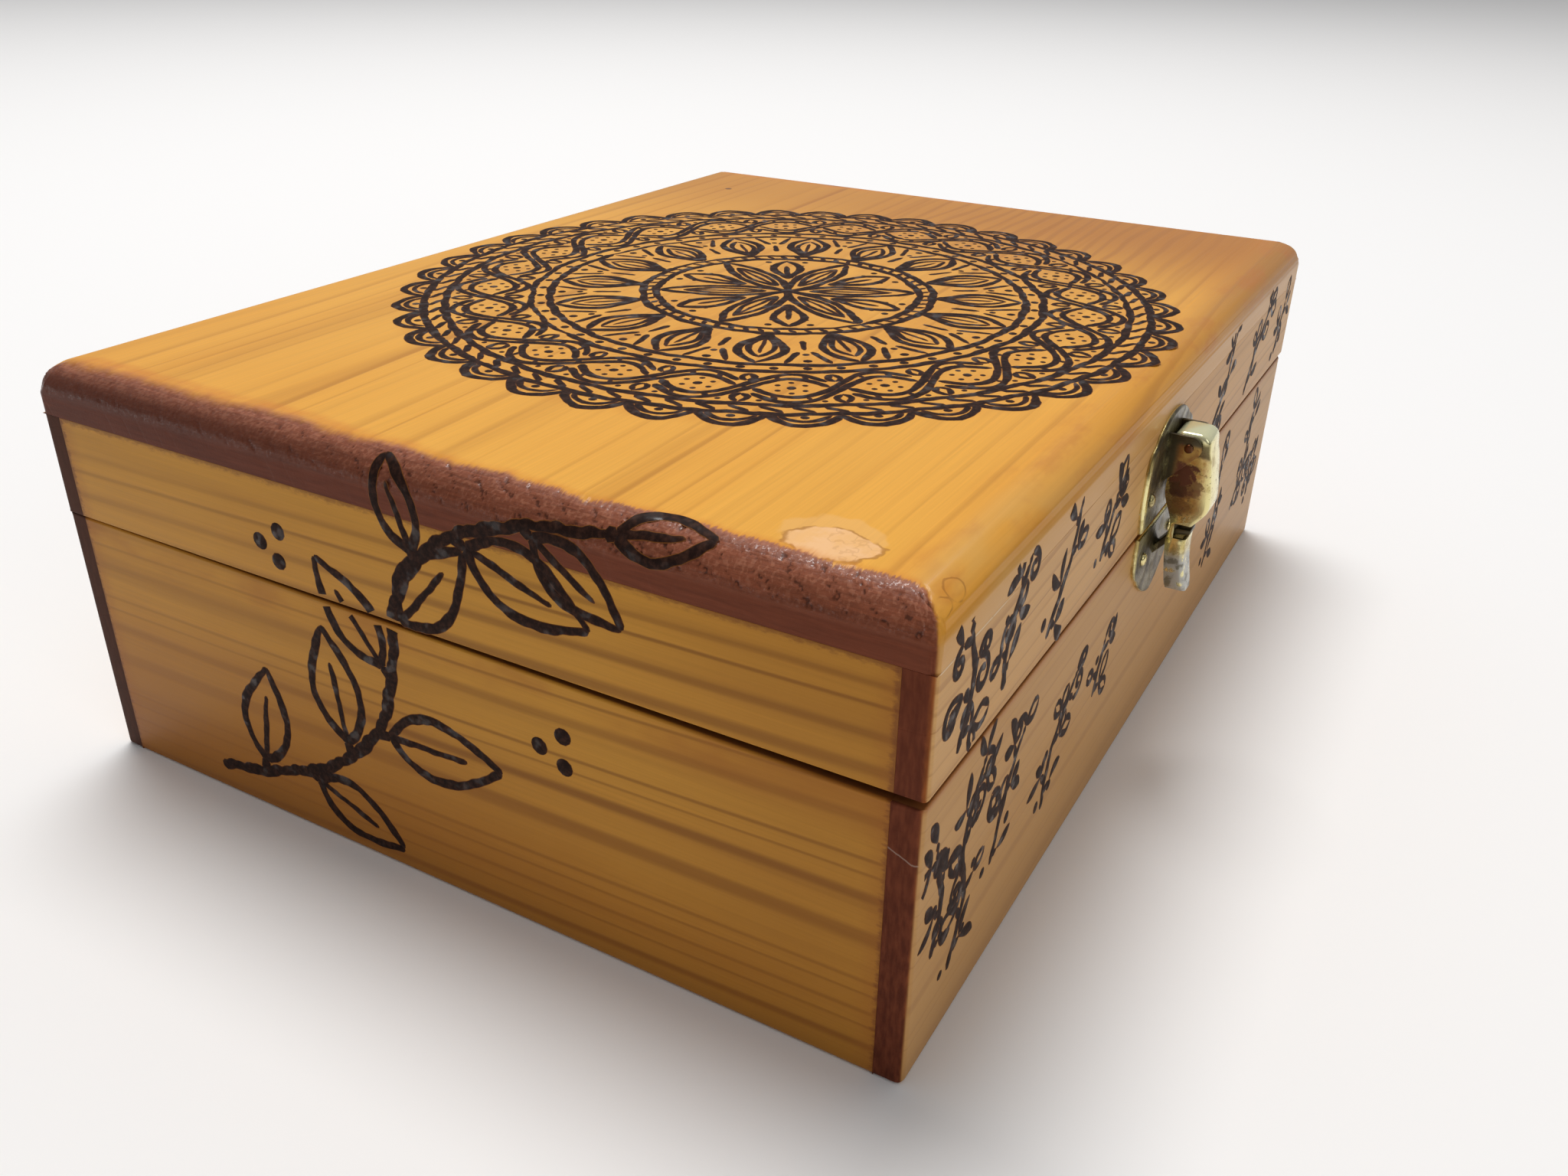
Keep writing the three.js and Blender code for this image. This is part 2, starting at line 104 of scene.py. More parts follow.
# %% Floor and light
FLOOR_SIZE = 40.0
FLOOR_COLOUR = (0.92, 0.905, 0.89, 1)
SKY_COLOUR = (0.97, 0.98, 1.0, 1)
SKY_DIM, SKY_PALE = 0.11, 0.42
PALE_SIDE = (0.62, 0.30, 0.72)
LAMP_SIZE = 1.3
LAMP_PLACE = (0.57, 0.57, 2.47)
LAMP_POWER = 50.0
FILL_SIZE = 0.6
FILL_PLACE = (-0.5, -0.9, 0.55)
FILL_POWER = 1.3


def deselect_all():
    bpy.ops.object.select_all(action="DESELECT")


def pick(piece):
    """Selects one piece alone and makes it the active one."""
    deselect_all()
    bpy.context.view_layer.objects.active = piece
    piece.select_set(True)


def put_on(piece, material):
    piece.data.materials.clear()
    piece.data.materials.append(material)


def soft_lamp(name, size, place, power):
    deselect_all()
    bpy.ops.object.light_add(type="AREA", location=place)
    lamp = bpy.context.object
    lamp.name = name
    lamp.data.shape = "DISK"
    lamp.data.size = size
    lamp.data.energy = power
    lamp.rotation_euler = Vector(place).to_track_quat("Z", "Y").to_euler()


deselect_all()
bpy.ops.mesh.primitive_plane_add(size=FLOOR_SIZE, location=(0, 0, 0))
floor = bpy.context.object
floor.name = "floor"
floor_paint = bpy.data.materials.new("floor_paint")
floor_paint.use_nodes = True
for name, value in {"Base Color": FLOOR_COLOUR, "Roughness": 0.7, "Specular IOR Level": 0.1}.items():
    floor_paint.node_tree.nodes["Principled BSDF"].inputs[name].default_value = value
put_on(floor, floor_paint)

sky = bpy.data.worlds.new("sky")
bpy.context.scene.world = sky
sky.use_nodes = True
sky_nodes = sky.node_tree.nodes
sky_nodes["Background"].inputs["Color"].default_value = SKY_COLOUR
direction = sky_nodes.new("ShaderNodeTexCoord")
towards_pale = sky_nodes.new("ShaderNodeVectorMath")
towards_pale.operation = "DOT_PRODUCT"
towards_pale.inputs[1].default_value = PALE_SIDE
strength = sky_nodes.new("ShaderNodeMapRange")
strength.interpolation_type = "SMOOTHSTEP"
for name, value in {"From Min": -0.5, "From Max": 0.8, "To Min": SKY_DIM, "To Max": SKY_PALE}.items():
    strength.inputs[name].default_value = value
sky.node_tree.links.new(direction.outputs["Generated"], towards_pale.inputs[0])
sky.node_tree.links.new(towards_pale.outputs["Value"], strength.inputs["Value"])
sky.node_tree.links.new(strength.outputs[0], sky_nodes["Background"].inputs["Strength"])
soft_lamp("ceiling_lamp", LAMP_SIZE, LAMP_PLACE, LAMP_POWER)
soft_lamp("window_fill", FILL_SIZE, FILL_PLACE, FILL_POWER)
print("lamps:", LAMP_POWER, FILL_POWER, "sky:", SKY_DIM, "to", SKY_PALE)

# %% [markdown]
# Shader nodes read best as sums. A small class wraps one socket and gives it Python's
# operators, so that 1 - mask adds a Math node by itself. A second class holds one material and
# makes every other node: it takes the node's type, its settings and its inputs.

# %% Shader arithmetic
def adds(operation):
    """A method that adds one Math node, whose first input is the value itself."""
    def method(self, *others):
        return self.finish.node("ShaderNodeMath", {"operation": operation}, dict(enumerate((self, *others))))
    return method


class Value:
    def __init__(self, finish, socket):
        self.finish = finish
        self.socket = socket

    __add__ = __radd__ = adds("ADD")
    __sub__ = adds("SUBTRACT")
    __mul__ = __rmul__ = adds("MULTIPLY")
    __truediv__ = adds("DIVIDE")
    __pow__ = adds("POWER")
    larger = adds("MAXIMUM")
    smaller = adds("MINIMUM")
    size = adds("ABSOLUTE")
    sine = adds("SINE")
    floor = adds("FLOOR")
    past_floor = adds("FRACT")

    def __rsub__(self, other):
        return self.finish.node("ShaderNodeMath", {"operation": "SUBTRACT"}, {0: other, 1: self})

    def step(self, low, high):
        """From 0 at low to 1 at high, with soft ends. High may be the smaller one."""
        return self.finish.node(
            "ShaderNodeMapRange", {"interpolation_type": "SMOOTHSTEP"},
            {"Value": self, "From Min": low, "From Max": high})


class Finish:
    def __init__(self, name):
        self.material = bpy.data.materials.new(name)
        self.material.use_nodes = True
        self.tree = self.material.node_tree
        self.shader = self.tree.nodes["Principled BSDF"]
        place = self.node("ShaderNodeTexCoord", output="Object")
        place = self.node("ShaderNodeVectorMath", {"operation": "SCALE"}, {0: place, "Scale": 1 / MM})
        axes = self.node("ShaderNodeSeparateXYZ", {}, {0: place}).socket.node
        self.x, self.y, self.z = [Value(self, socket) for socket in axes.outputs]

    def node(self, kind, settings=None, inputs=None, output=0):
        made = self.tree.nodes.new(kind)
        for name, setting in (settings or {}).items():
            setattr(made, name, setting)
        for name, value in (inputs or {}).items():
            self.feed(made.inputs[name], value)
        return Value(self, made.outputs[output])

    def feed(self, socket, value):
        if isinstance(value, Value):
            self.tree.links.new(value.socket, socket)
        else:
            socket.default_value = value

    def mix(self, share, first, second):
        """A colour between two, where the share may be a value."""
        def whole(colour):
            return colour if isinstance(colour, Value) else (*colour, 1)
        return self.node(
            "ShaderNodeMix", {"data_type": "RGBA"}, {0: share, 6: whole(first), 7: whole(second)}, output=2)

    def coats(self, colour, *layers):
        """A colour with others laid over it in turn. Each layer is its share and its colour."""
        for share, layer in layers:
            colour = self.mix(share, colour, layer)
        return colour

    def shade(self, colour, amount):
        """A colour made lighter or darker by a value round 1."""
        return self.node("ShaderNodeVectorMath", {"operation": "SCALE"}, {0: colour, "Scale": amount})

    def vector(self, x, y, z):
        return self.node("ShaderNodeCombineXYZ", {}, {0: x, 1: y, 2: z})

    def noise(self, scales, detail=2.0, rough=0.5, warp=0.0, seed=0.0):
        """Noise from 0 to 1. The scales are its cells in a millimetre, along X, Y and Z or all ways."""
        across, deep, up = scales if isinstance(scales, tuple) else (scales,) * 3
        spot = self.vector(self.x * across + seed, self.y * deep + seed, self.z * up - seed)
        return self.node("ShaderNodeTexNoise", {}, {
            "Vector": spot, "Scale": 1.0, "Detail": detail, "Roughness": rough, "Distortion": warp})

    def noise_along(self, distance, detail):
        """Noise from 0 to 1 that varies with a distance only."""
        return self.node("ShaderNodeTexNoise", {"noise_dimensions": "1D"}, {
            "W": distance, "Scale": 1.0, "Detail": detail})

    def attribute(self, name):
        """A value that is kept in the mesh, at each of its corners."""
        return self.node("ShaderNodeAttribute", {"attribute_name": name}, output=2)

    def finish_with(self, constants, colour, roughness, height, relief, metal=None, coat=None):
        """Sends the results to the shader. The relief is the height's depth in millimetres."""
        bump = self.node("ShaderNodeBump", {}, {"Height": height, "Distance": relief * MM, "Strength": 1.0})
        varied = {"Base Color": colour, "Roughness": roughness, "Metallic": metal, "Coat Weight": coat}
        for socket, value in {**varied, "Normal": bump}.items():
            if value is not None:
                self.feed(self.shader.inputs[socket], value)
        for socket, value in constants.items():
            self.shader.inputs[socket].default_value = value
        return self.material


print("shader helpers ready")

# %% [markdown]
# Sawn softwood is a bundle of growth rings cut by a plane. So the grain isn't painted on: each
# board is given a place in its log, and the shader measures the distance to the heart. The
# rings then run as stripes along a board, as arches on a flat-sawn face and as arcs on its end.
# Late wood darkens slowly and stops sharply, which gives each line one soft and one hard side.

# %% Growth rings
def log_distance(finish, along, heart, tilt, sway):
    """Distance in millimetres from the heart of the log, a line along X or Y."""
    if along == "X":
        length, across, up = finish.x, finish.y, finish.z
        broad, fine = (0.004, 0.014, 0.014), (0.012, 0.09, 0.09)
    else:
        length, across, up = finish.y, finish.x, finish.z
        broad, fine = (0.014, 0.004, 0.014), (0.09, 0.012, 0.09)
    side = across - heart[0] - length * tilt[0]
    rise = up - heart[1] - length * tilt[1]
    bent = (finish.noise(broad, detail=1.0, seed=heart[0]) - 0.5) * sway
    ripple = (finish.noise(fine, detail=2.0, seed=heart[1]) - 0.5) * (sway * 0.16)
    return (side * side + rise * rise) ** 0.5 + bent + ripple


def late_wood(finish, distance, spacing, thin, even, stop):
    """From 0 in early wood to 1 in the dark line of each ring. Each ring has its own strength."""
    count = distance / spacing + finish.noise_along(distance / (spacing * 2.6), 1.0) * 2.4
    ring = count.past_floor()
    strength = finish.node("ShaderNodeTexWhiteNoise", {"noise_dimensions": "1D"}, {"W": count.floor()})
    slope = (ring ** thin) * 0.45 + ring.step(stop - 0.19, stop - 0.05) * 0.65
    return slope * (1 - ring.step(stop, 1.0)) * (strength * (1 - even) + even)


def fibres(finish, along, seed):
    scales = (0.035, 2.4, 2.4) if along == "X" else (2.4, 0.035, 2.4)
    return finish.noise(scales, detail=3.0, rough=0.6, seed=seed)


print("ring helpers ready")

# %% [markdown]
# All the boards share one way of finishing: pale early wood, darker lines, fine fibres, slow
# patches where the varnish soaked in, and a clear coat. Only the sawn outer side is varnished.
# Inside the box the wood is bare, so it is paler and dull. The shader tells the two apart by
# place, because the inner faces lie behind known planes.

# %% Varnished wood
HALF_LENGTH, HALF_DEPTH, TOP_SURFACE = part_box("lid_top_board")[1] / MM
TOP_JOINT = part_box("lid_top_board")[0].z / MM
front_low, front_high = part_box("base_front_board")
WALL = (front_high.y - front_low.y) / MM
SEAM_LOW = front_high.z / MM
SEAM_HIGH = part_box("lid_front_board")[0].z / MM
SEAM = (SEAM_LOW + SEAM_HIGH) / 2
print("box in mm:", [round(size, 2) for size in (HALF_LENGTH, HALF_DEPTH, SEAM_LOW, SEAM_HIGH, TOP_SURFACE)])

BARE_COLOUR = (0.62, 0.40, 0.20)
BARE_LINE = (0.46, 0.26, 0.11)
# The dark painted as shade on the rims inside the seam's gap.
SEAM_GAP_SHADE = (0.16, 0.060, 0.022)
GLOSSY_VARNISH = {"Coat Roughness": 0.20, "Specular IOR Level": 0.08}
SATIN_VARNISH = {"Coat Roughness": 0.32, "Specular IOR Level": 0.08}
BARE_WOOD = {"Specular IOR Level": 0.3}


def wood_body(finish, along, heart, tilt, spacing, light, line, blush, depth=0.75, sway=16.0,
              thin=3.0, streaks=0.35, broad=1.0, grouped=0.0, even=0.3, stop=0.93):
    """The colour, roughness and relief of one varnished board."""
    distance = log_distance(finish, along, heart, tilt, sway)
    slow = finish.noise_along(distance / (spacing * 4), 1.5)
    crowded = 1 - slow.step(0.56, 0.42) * grouped
    grain = late_wood(finish, distance, spacing, thin, even, stop) * crowded
    across = 0.22 / broad
    streaky = (0.005, across, across) if along == "X" else (across, 0.005, across)
    streak = finish.noise(streaky, detail=2.5, rough=0.5, seed=spacing).step(0.50, 0.70) * crowded
    fine = fibres(finish, along, heart[1])
    patch = finish.noise((0.011, 0.016, 0.02), detail=2.0, seed=tilt[0] * 40 + 3).step(0.35, 0.75)
    blushed = patch * 0.55 + slow.step(0.45, 0.7) * 0.35
    colour = finish.coats(light, (blushed, blush), (grain * depth, line), (streak * streaks, line))
    colour = finish.shade(colour, (fine - 0.5) * 0.26 + 1.0)
    roughness = fine * 0.16 + 0.28
    height = fine * 0.5 - grain * 0.55
    return colour, roughness, height, grain, fine


def bare_inside(finish, colour, grain, fine):
    """Bare wood on the faces that look into the box, and painted shade on the rims in the seam's gap, where
    the halves meet.
    """
    inward = (HALF_LENGTH - 0.7 - finish.x.size()).smaller(HALF_DEPTH - 0.7 - finish.y.size())
    rim = inward.step(-0.3, 0.2) * (finish.z - SEAM).size().step(1.3, 1.0)
    # Painted shade: the rims in the seam's gap are darkened.
    colour = finish.mix(rim * 0.85, colour, SEAM_GAP_SHADE)
    inner = (HALF_LENGTH - WALL + 0.4 - finish.x.size()).step(0.0, 0.2)
    for room in (HALF_DEPTH - WALL + 0.4 - finish.y.size(), TOP_JOINT + 0.4 - finish.z):
        inner = inner * room.step(0.0, 0.2)
    dry = finish.shade(finish.mix(grain * 0.6, BARE_COLOUR, BARE_LINE), (fine - 0.5) * 0.3 + 1.0)
    return finish.mix(inner, colour, dry), inner


print("wood helpers ready")

# %% [markdown]
# End grain drinks varnish and turns a dark red brown. The front and back boards run the full
# length, so their ends show on the end faces as two dark strips, and the top board shows a dark
# band all along. Its rounded upper edge was shaped with a coarse tool: it is scuffed across, and
# torn in slanting rows where the soft early wood came out. The pits are cut into the mesh
# further on, which leaves their depth in an attribute that this finish reads.

# %% End grain
END_BROWN = (0.180, 0.046, 0.020)
END_RED = (0.66, 0.225, 0.030)
END_DEEP = (0.095, 0.022, 0.010)
END_FAR = (0.072, 0.038, 0.027)
# The warm line painted along the strips' rounded outer arris, as a highlight.
ARRIS_HIGHLIGHT = (0.50, 0.150, 0.030)
PIT_BLACK = (0.060, 0.019, 0.011)
SCRATCH_PALE = (0.45, 0.33, 0.26)
SCRATCH_Y, SCRATCH_Z, SCRATCH_SLOPE = -90.5, 43.6, 0.45
ROUGH_PINK = (0.265, 0.086, 0.046)
ROUGH_PALE = (0.440, 0.180, 0.105)
TOP_ROUND = 6.0
TORN = "torn"


def strip_ends(finish, colour, roughness):
    """Dark ends on the boards that run through, with a warmer line along the outer arris that is a painted
    highlight on its rounding.
    """
    end = (finish.x.size() - (HALF_LENGTH - 0.95)).step(0.0, 0.4)
    mottle = finish.noise((0.2, 1.2, 0.30), detail=3.0, seed=5.0)
    # A painted highlight: a warmer line where the outer arris rounds over.
    arris_highlight = (finish.y.size() - (HALF_DEPTH - 1.2) + (mottle - 0.5) * 0.8).step(0.0, 1.2)
    scratch = finish.z - SCRATCH_Z - (finish.y - SCRATCH_Y) * SCRATCH_SLOPE + mottle * 0.5
    scratch = scratch.size().step(0.22, 0.04)
    dark = finish.coats(
        END_DEEP, (mottle.step(0.3, 0.75), END_BROWN), (finish.z.step(8.0, 80.0) * 0.35, END_BROWN),
        (arris_highlight * 0.7, ARRIS_HIGHLIGHT), (finish.y.step(-20.0, 80.0) * 0.75, END_FAR), (scratch * 0.5, SCRATCH_PALE))
    return finish.mix(end, colour, dark), roughness + end * 0.2, end


print("end grain colours ready")

# %% [markdown]
# Age and use have left marks on the top: a pale oval where something stood and was sanded off,
# a thin tide line on the rounding, and a dark speck near the back. Each mark is measured from
# the middle of an uneven oval, so one function serves them all.

# %% Marks of use
PATCH_MIDDLE, PATCH_HALF = (-110.6, -71.3), (4.9, 7.0)
HALO_MIDDLE, HALO_HALF = (-108.3, -70.0), (6.5, 7.7)
TIDE_MIDDLE, TIDE_HALF = (-111.0, -91.7), (2.6, 2.5)
DRIP_MIDDLE, DRIP_HALF = (-115.7, -92.7), (2.3, 1.8)
SPECK_MIDDLE, SPECK_HALF = (91.7, 70.3), (1.1, 1.1)
SANDED, SANDED_RIM = (0.88, 0.53, 0.28), (0.84, 0.48, 0.17)


def oval(finish, middle, half, wobble, seed):
    """0 at the middle of an uneven oval on the top board or its rounding, and 1 on its outline."""
    across = (finish.x - middle[0]) / half[0]
    along = (finish.y + finish.z - (TOP_SURFACE + middle[1])) / half[1]
    uneven = (finish.noise(0.22, detail=3.0, seed=seed) - 0.5) * wobble
    return (across * across + along * along) ** 0.5 + uneven


def thin_outline(measure, width):
    return (measure - 1.0).size().step(width, width * 0.25)


def marks_of_use(finish, colour):
    """The colour with its marks, and the share that has lost its varnish."""
    pale = oval(finish, PATCH_MIDDLE, PATCH_HALF, 0.9, 2.0)
    halo = oval(finish, HALO_MIDDLE, HALO_HALF, 0.7, 5.0)
    bare = pale.step(1.02, 0.92)
    flaky = finish.noise(0.28, detail=5.0, rough=0.6, seed=4.0).step(0.35, 0.6)
    cracks = (finish.noise(0.16, detail=3.0, seed=19.0) - 0.5).size().step(0.014, 0.004) * bare
    rim = thin_outline(pale, 0.09) * finish.noise(0.3, seed=8.0).step(0.36, 0.50)
    tide = oval(finish, TIDE_MIDDLE, TIDE_HALF, 1.0, 6.0)
    tide = thin_outline(tide.smaller(oval(finish, DRIP_MIDDLE, DRIP_HALF, 1.0, 6.0)), 0.12)
    tide = tide * finish.noise(0.25, seed=14.0).step(0.38, 0.55)
    speck = oval(finish, SPECK_MIDDLE, SPECK_HALF, 0.5, 1.0).step(1.0, 0.6)
    return finish.coats(
        colour, (halo.step(1.05, 0.92) * 0.42, SANDED_RIM), (bare * (flaky * 0.32 + 0.50), SANDED),
        (rim.larger(tide).larger(cracks * 0.3) * 0.60, (0.34, 0.13, 0.025)),
        (speck * 0.85, (0.10, 0.035, 0.015))), bare


print("marks ready")

# %% [markdown]
# The top board is the warmest piece: golden in the middle, ribbed towards the right, browned by
# the hot tool inside the ornament, and more orange on its rounded front edge, with rusty smears,
# painted shade towards the right and a pale painted highlight at its near end. Its two ends are
# dark, torn end grain.

# %% Top board finish
ROSETTE_MIDDLE, ROSETTE_RADIUS = (0.0, -2.0), 86.0
RIB_SPACING = 4.3
FRONT_TAN = (0.64, 0.34, 0.105)


def ornament_scorch(finish):
    """Wood browned by the heat of the tool, inside the round ornament."""
    across, along = finish.x - ROSETTE_MIDDLE[0], finish.y - ROSETTE_MIDDLE[1]
    inside = ((across * across + along * along) ** 0.5).step(ROSETTE_RADIUS + 1.5, ROSETTE_RADIUS - 3.0)
    return inside * finish.noise(0.16, detail=3.0, seed=17.0).step(0.30, 0.70)


def front_rounding(finish, colour):
    """The rounded front edge: painted shade to the right, rusty in smears, and a pale painted highlight at
    its near end.
    """
    past = finish.y + (HALF_DEPTH - TOP_ROUND)
    edge = past.step(8.0, -3.0)
    # Painted shade on the right part of the rounding.
    painted_shade = past.step(4.0, -3.0) * finish.x.step(-90.0, 70.0)
    smear = finish.noise((0.05, 0.12, 0.12), detail=4.0, rough=0.6, seed=11.0).step(0.50, 0.70)
    # A pale painted highlight on the near end of the rounding.
    wear_and_highlight = finish.noise((0.03, 0.09, 0.09), detail=3.0, seed=29.0).step(0.35, 0.6)
    wear_and_highlight = wear_and_highlight * past.step(3.0, -2.0) * finish.x.step(-20.0, -100.0)
    flat = (-HALF_DEPTH + 1.6 - finish.y).step(0.0, 1.2)
    flat = flat * (TOP_SURFACE - TOP_ROUND - finish.z).step(-1.6, 1.2)
    return finish.coats(
        colour, (painted_shade * 0.65, (0.36, 0.165, 0.028)), (edge * 0.30, (0.66, 0.275, 0.034)),
        (edge * smear * 0.60, (0.52, 0.170, 0.026)), (wear_and_highlight * 0.55, (0.66, 0.385, 0.115)),
        (flat * 0.85, FRONT_TAN))


def rough_band(finish, colour, roughness, height):
    """The end grain of the top board, on its rounded edge and on the flat below it."""
    back = finish.y.step(-50.0, 70.0)
    teeth = (finish.noise((0.20, 1.5, 0.20), detail=2.0, rough=0.7, seed=9.0) - 0.5) * (1 - back * 0.9)
    drift = finish.noise((0.04, 0.07, 0.04), detail=3.0, seed=13.0) - 0.5
    reach = finish.x.size() - (HALF_LENGTH - TOP_ROUND + 0.9) + teeth * 2.3 + drift * 5.0
    mitre = (finish.x.size() - finish.y.size() - (HALF_LENGTH - HALF_DEPTH) + teeth * 0.8).step(-0.9, 0.2)
    soaked = finish.noise((0.10, 0.16, 0.10), detail=4.0, rough=0.65, seed=41.0).step(0.30, 0.66)
    reddened = (reach + back * 2.4).step(-2.0, 0.8) * mitre * (soaked * 0.7 + 0.3)
    band = (reach + back * soaked * 0.6).step(-0.3 - back * 0.7, back * 2.3 + 0.5) * mitre
    flat = (finish.z - (TOP_SURFACE - TOP_ROUND)).step(1.4, -1.0)
    lines = finish.noise((1.5, 0.09, 1.5), detail=3.0, rough=0.65, warp=0.5, seed=7.0)
    pits = finish.attribute(TORN)
    torn = finish.noise((0.9, 1.6, 1.6), detail=4.0, rough=0.7, warp=0.4, seed=23.0)
    scuffed = finish.coats(
        ROUGH_PINK, (torn.step(0.40, 0.72) * 0.5, END_BROWN), (pits.step(0.16, 0.02) * 0.45, ROUGH_PALE),
        (finish.z.step(TOP_SURFACE - 1.8, TOP_SURFACE - 5.0) * 0.55, END_BROWN))
    # Towards the back the rounding is dark below its top, and its top is left pale as a painted highlight.
    scuffed = finish.coats(
        finish.shade(scuffed, (lines - 0.5) * 1.3 + 1.0), (pits.step(0.40, 0.90) * 0.72, PIT_BLACK),
        (back * finish.z.step(TOP_SURFACE - 0.6, TOP_SURFACE - 3.2) * 0.8, END_DEEP),
        (reach.step(1.7, 0.0) * (1 - back) * 0.45, ROUGH_PALE))
    smooth = finish.shade(finish.mix(back * 0.6, END_BROWN, END_DEEP), (lines - 0.5) * 0.9 + 1.0)
    colour = finish.coats(colour, (reddened * 0.75, END_RED), (band, finish.mix(flat, scuffed, smooth)))
    rough_part = band * (1 - flat)
    relief = torn * 1.5 + lines * 1.5
    height = height * (1 - rough_part) + rough_part * relief * (1 - back * 0.5)
    glints = finish.noise(2.4, detail=1.0, rough=0.6, seed=37.0).step(0.58, 0.66)
    coat = 0.17 - band * flat * 0.15 + rough_part * (glints * 0.60 - 0.13 + back * 0.26)
    return colour, roughness, height, coat


def top_wood():
    finish = Finish("varnished_top")
    ribbed = finish.x.step(25.0, 100.0)
    colour, roughness, height, grain, fine = wood_body(
        finish, "X", heart=(290.0, -30.0), tilt=(0.03, 0.01), spacing=6.4,
        light=(0.82, 0.400, 0.058), line=(0.45, 0.175, 0.020), blush=(0.76, 0.335, 0.040),
        depth=ribbed * 0.25 + 0.68, sway=13.0, streaks=0.30, broad=1.9, grouped=0.75, even=0.35)
    wavy = finish.y + (finish.noise((0.012, 0.05, 0.05), detail=2.0, seed=25.0) - 0.5) * 14.0
    ribs = (wavy * (2 * math.pi / RIB_SPACING)).sine().step(0.0, 1.0)
    ribs = ribs * finish.x.step(30.0, 80.0) * (finish.y + 30.0).size().step(60.0, 25.0)
    colour = finish.coats(
        colour, (ribbed * (finish.y.step(50.0, -60.0) * 0.32 + 0.58), (0.46, 0.165, 0.018)),
        (ribs * 0.50, (0.40, 0.145, 0.020)), (ornament_scorch(finish) * 0.36, (0.62, 0.240, 0.026)))
    colour, bare = marks_of_use(finish, front_rounding(finish, colour))
    colour, roughness, height, coat = rough_band(finish, colour, roughness, height)
    colour, inner = bare_inside(finish, colour, grain, fine)
    return finish.finish_with(
        GLOSSY_VARNISH, colour, roughness + bare * 0.2 + inner * 0.2,
        coat=coat * (1 - bare * 0.8) * (1 - inner), height=height, relief=0.05)


TOP_WOOD = top_wood()
print("finish:", TOP_WOOD.name, len(TOP_WOOD.node_tree.nodes), "nodes")

# %% [markdown]
# The end boards are quarter sawn: their rings stand square to the face and make level stripes.
# The front and back boards are paler and flat sawn, with wider, softer figures. Each board gets
# its own heart, so no two look alike, but the base and the lid of one wall were one board
# before the saw parted them, so their stripes run on across the seam.

# %% Wall finishes
GLUE_BROWN = (0.17, 0.046, 0.013)


def end_wood(name, heart):
    finish = Finish(name)
    colour, roughness, height, grain, fine = wood_body(
        finish, "Y", heart=heart, tilt=(0.0, -0.018), spacing=5.2,
        light=(0.62, 0.290, 0.038), line=(0.22, 0.078, 0.011), blush=(0.55, 0.235, 0.029),
        depth=finish.y.step(70.0, -20.0) * 0.40 + 0.45, sway=6.0, streaks=0.20, broad=1.3, even=0.55,
        stop=0.84)
    low = finish.z.step(52.0, 2.0) * (finish.y.step(-90.0, 60.0) * 0.6 + 0.4)
    near = finish.y.step(-35.0, -82.0)
    # Below the seam the wood is darker and redder, in blotches and most towards the near corner.
    seam = (finish.z - (SEAM_LOW - 1.5)).size().step(9.0, 0.0) * finish.z.step(SEAM_HIGH, SEAM_LOW)
    seam_blotches = finish.noise((0.05, 0.045, 0.10), detail=3.0, seed=21.0).step(0.42, 0.66)
    fuzz = finish.noise((0.3, 0.5, 1.1), detail=3.0, rough=0.65, seed=33.0) * 3.2 - 1.6
    joint = HALF_DEPTH - WALL - finish.y.size() + fuzz
    below = TOP_JOINT - finish.z + fuzz * 0.7
    colour = finish.coats(
        colour, (low * 0.75, (0.34, 0.112, 0.013)), (near * 0.28, (0.30, 0.105, 0.014)),
        (seam * (seam_blotches * 0.5 + near * 0.5) * 0.8, (0.34, 0.100, 0.016)),
        (joint.step(5.0, 0.0) * 0.35, (0.36, 0.110, 0.018)),
        (joint.step(1.3, 0.2) * 0.60, GLUE_BROWN), (below.step(1.2, 0.1) * 0.60, GLUE_BROWN))
    colour, inner = bare_inside(finish, colour, grain, fine)
    return finish.finish_with(
        SATIN_VARNISH, colour, roughness + 0.06 + inner * 0.2, coat=0.13 - inner * 0.13,
        height=height, relief=0.05)


def front_wood(name, heart):
    finish = Finish(name)
    colour, roughness, height, grain, fine = wood_body(
        finish, "X", heart=heart, tilt=(0.02, 0.03), spacing=3.6,
        light=(0.66, 0.365, 0.130), line=(0.40, 0.180, 0.050), blush=(0.58, 0.290, 0.080),
        depth=0.75, sway=12.0, streaks=0.25)
    low = finish.z.step(SEAM_HIGH, SEAM_LOW)
    # A dark band of painted shadow on the base's front, just below the seam.
    seam = (finish.z - SEAM_LOW).size().step(2.4, 0.2) * low
    # A thin pale broken line along the joint with the top board, near the corner.
    pale_joint_line = (finish.z - (TOP_JOINT - 0.1)).size().step(0.30, 0.06) * finish.x.step(-84.0, -100.0)
    flecks = finish.noise(0.3, seed=2.0).step(0.35, 0.5)
    colour = finish.coats(
        colour, (low * 0.5, (0.50, 0.260, 0.080)), (seam * 0.85, (0.36, 0.110, 0.020)),
        (pale_joint_line * flecks * 0.6, (0.85, 0.68, 0.46)))
    colour, roughness, end = strip_ends(finish, colour, roughness)
    colour, inner = bare_inside(finish, colour, grain, fine)
    return finish.finish_with(
        SATIN_VARNISH, colour, roughness + 0.08 + inner * 0.2, coat=0.20 * (1 - inner) * (1 - end),
        height=height, relief=0.05)


def panel_wood():
    finish = Finish("bare_panel")
    colour, roughness, height, grain, fine = wood_body(
        finish, "X", heart=(20.0, -160.0), tilt=(0.02, 0.02), spacing=2.4,
        light=BARE_COLOUR, line=BARE_LINE, blush=(0.56, 0.34, 0.15), depth=0.6)
    return finish.finish_with(BARE_WOOD, colour, roughness + 0.3, height=height, relief=0.06)


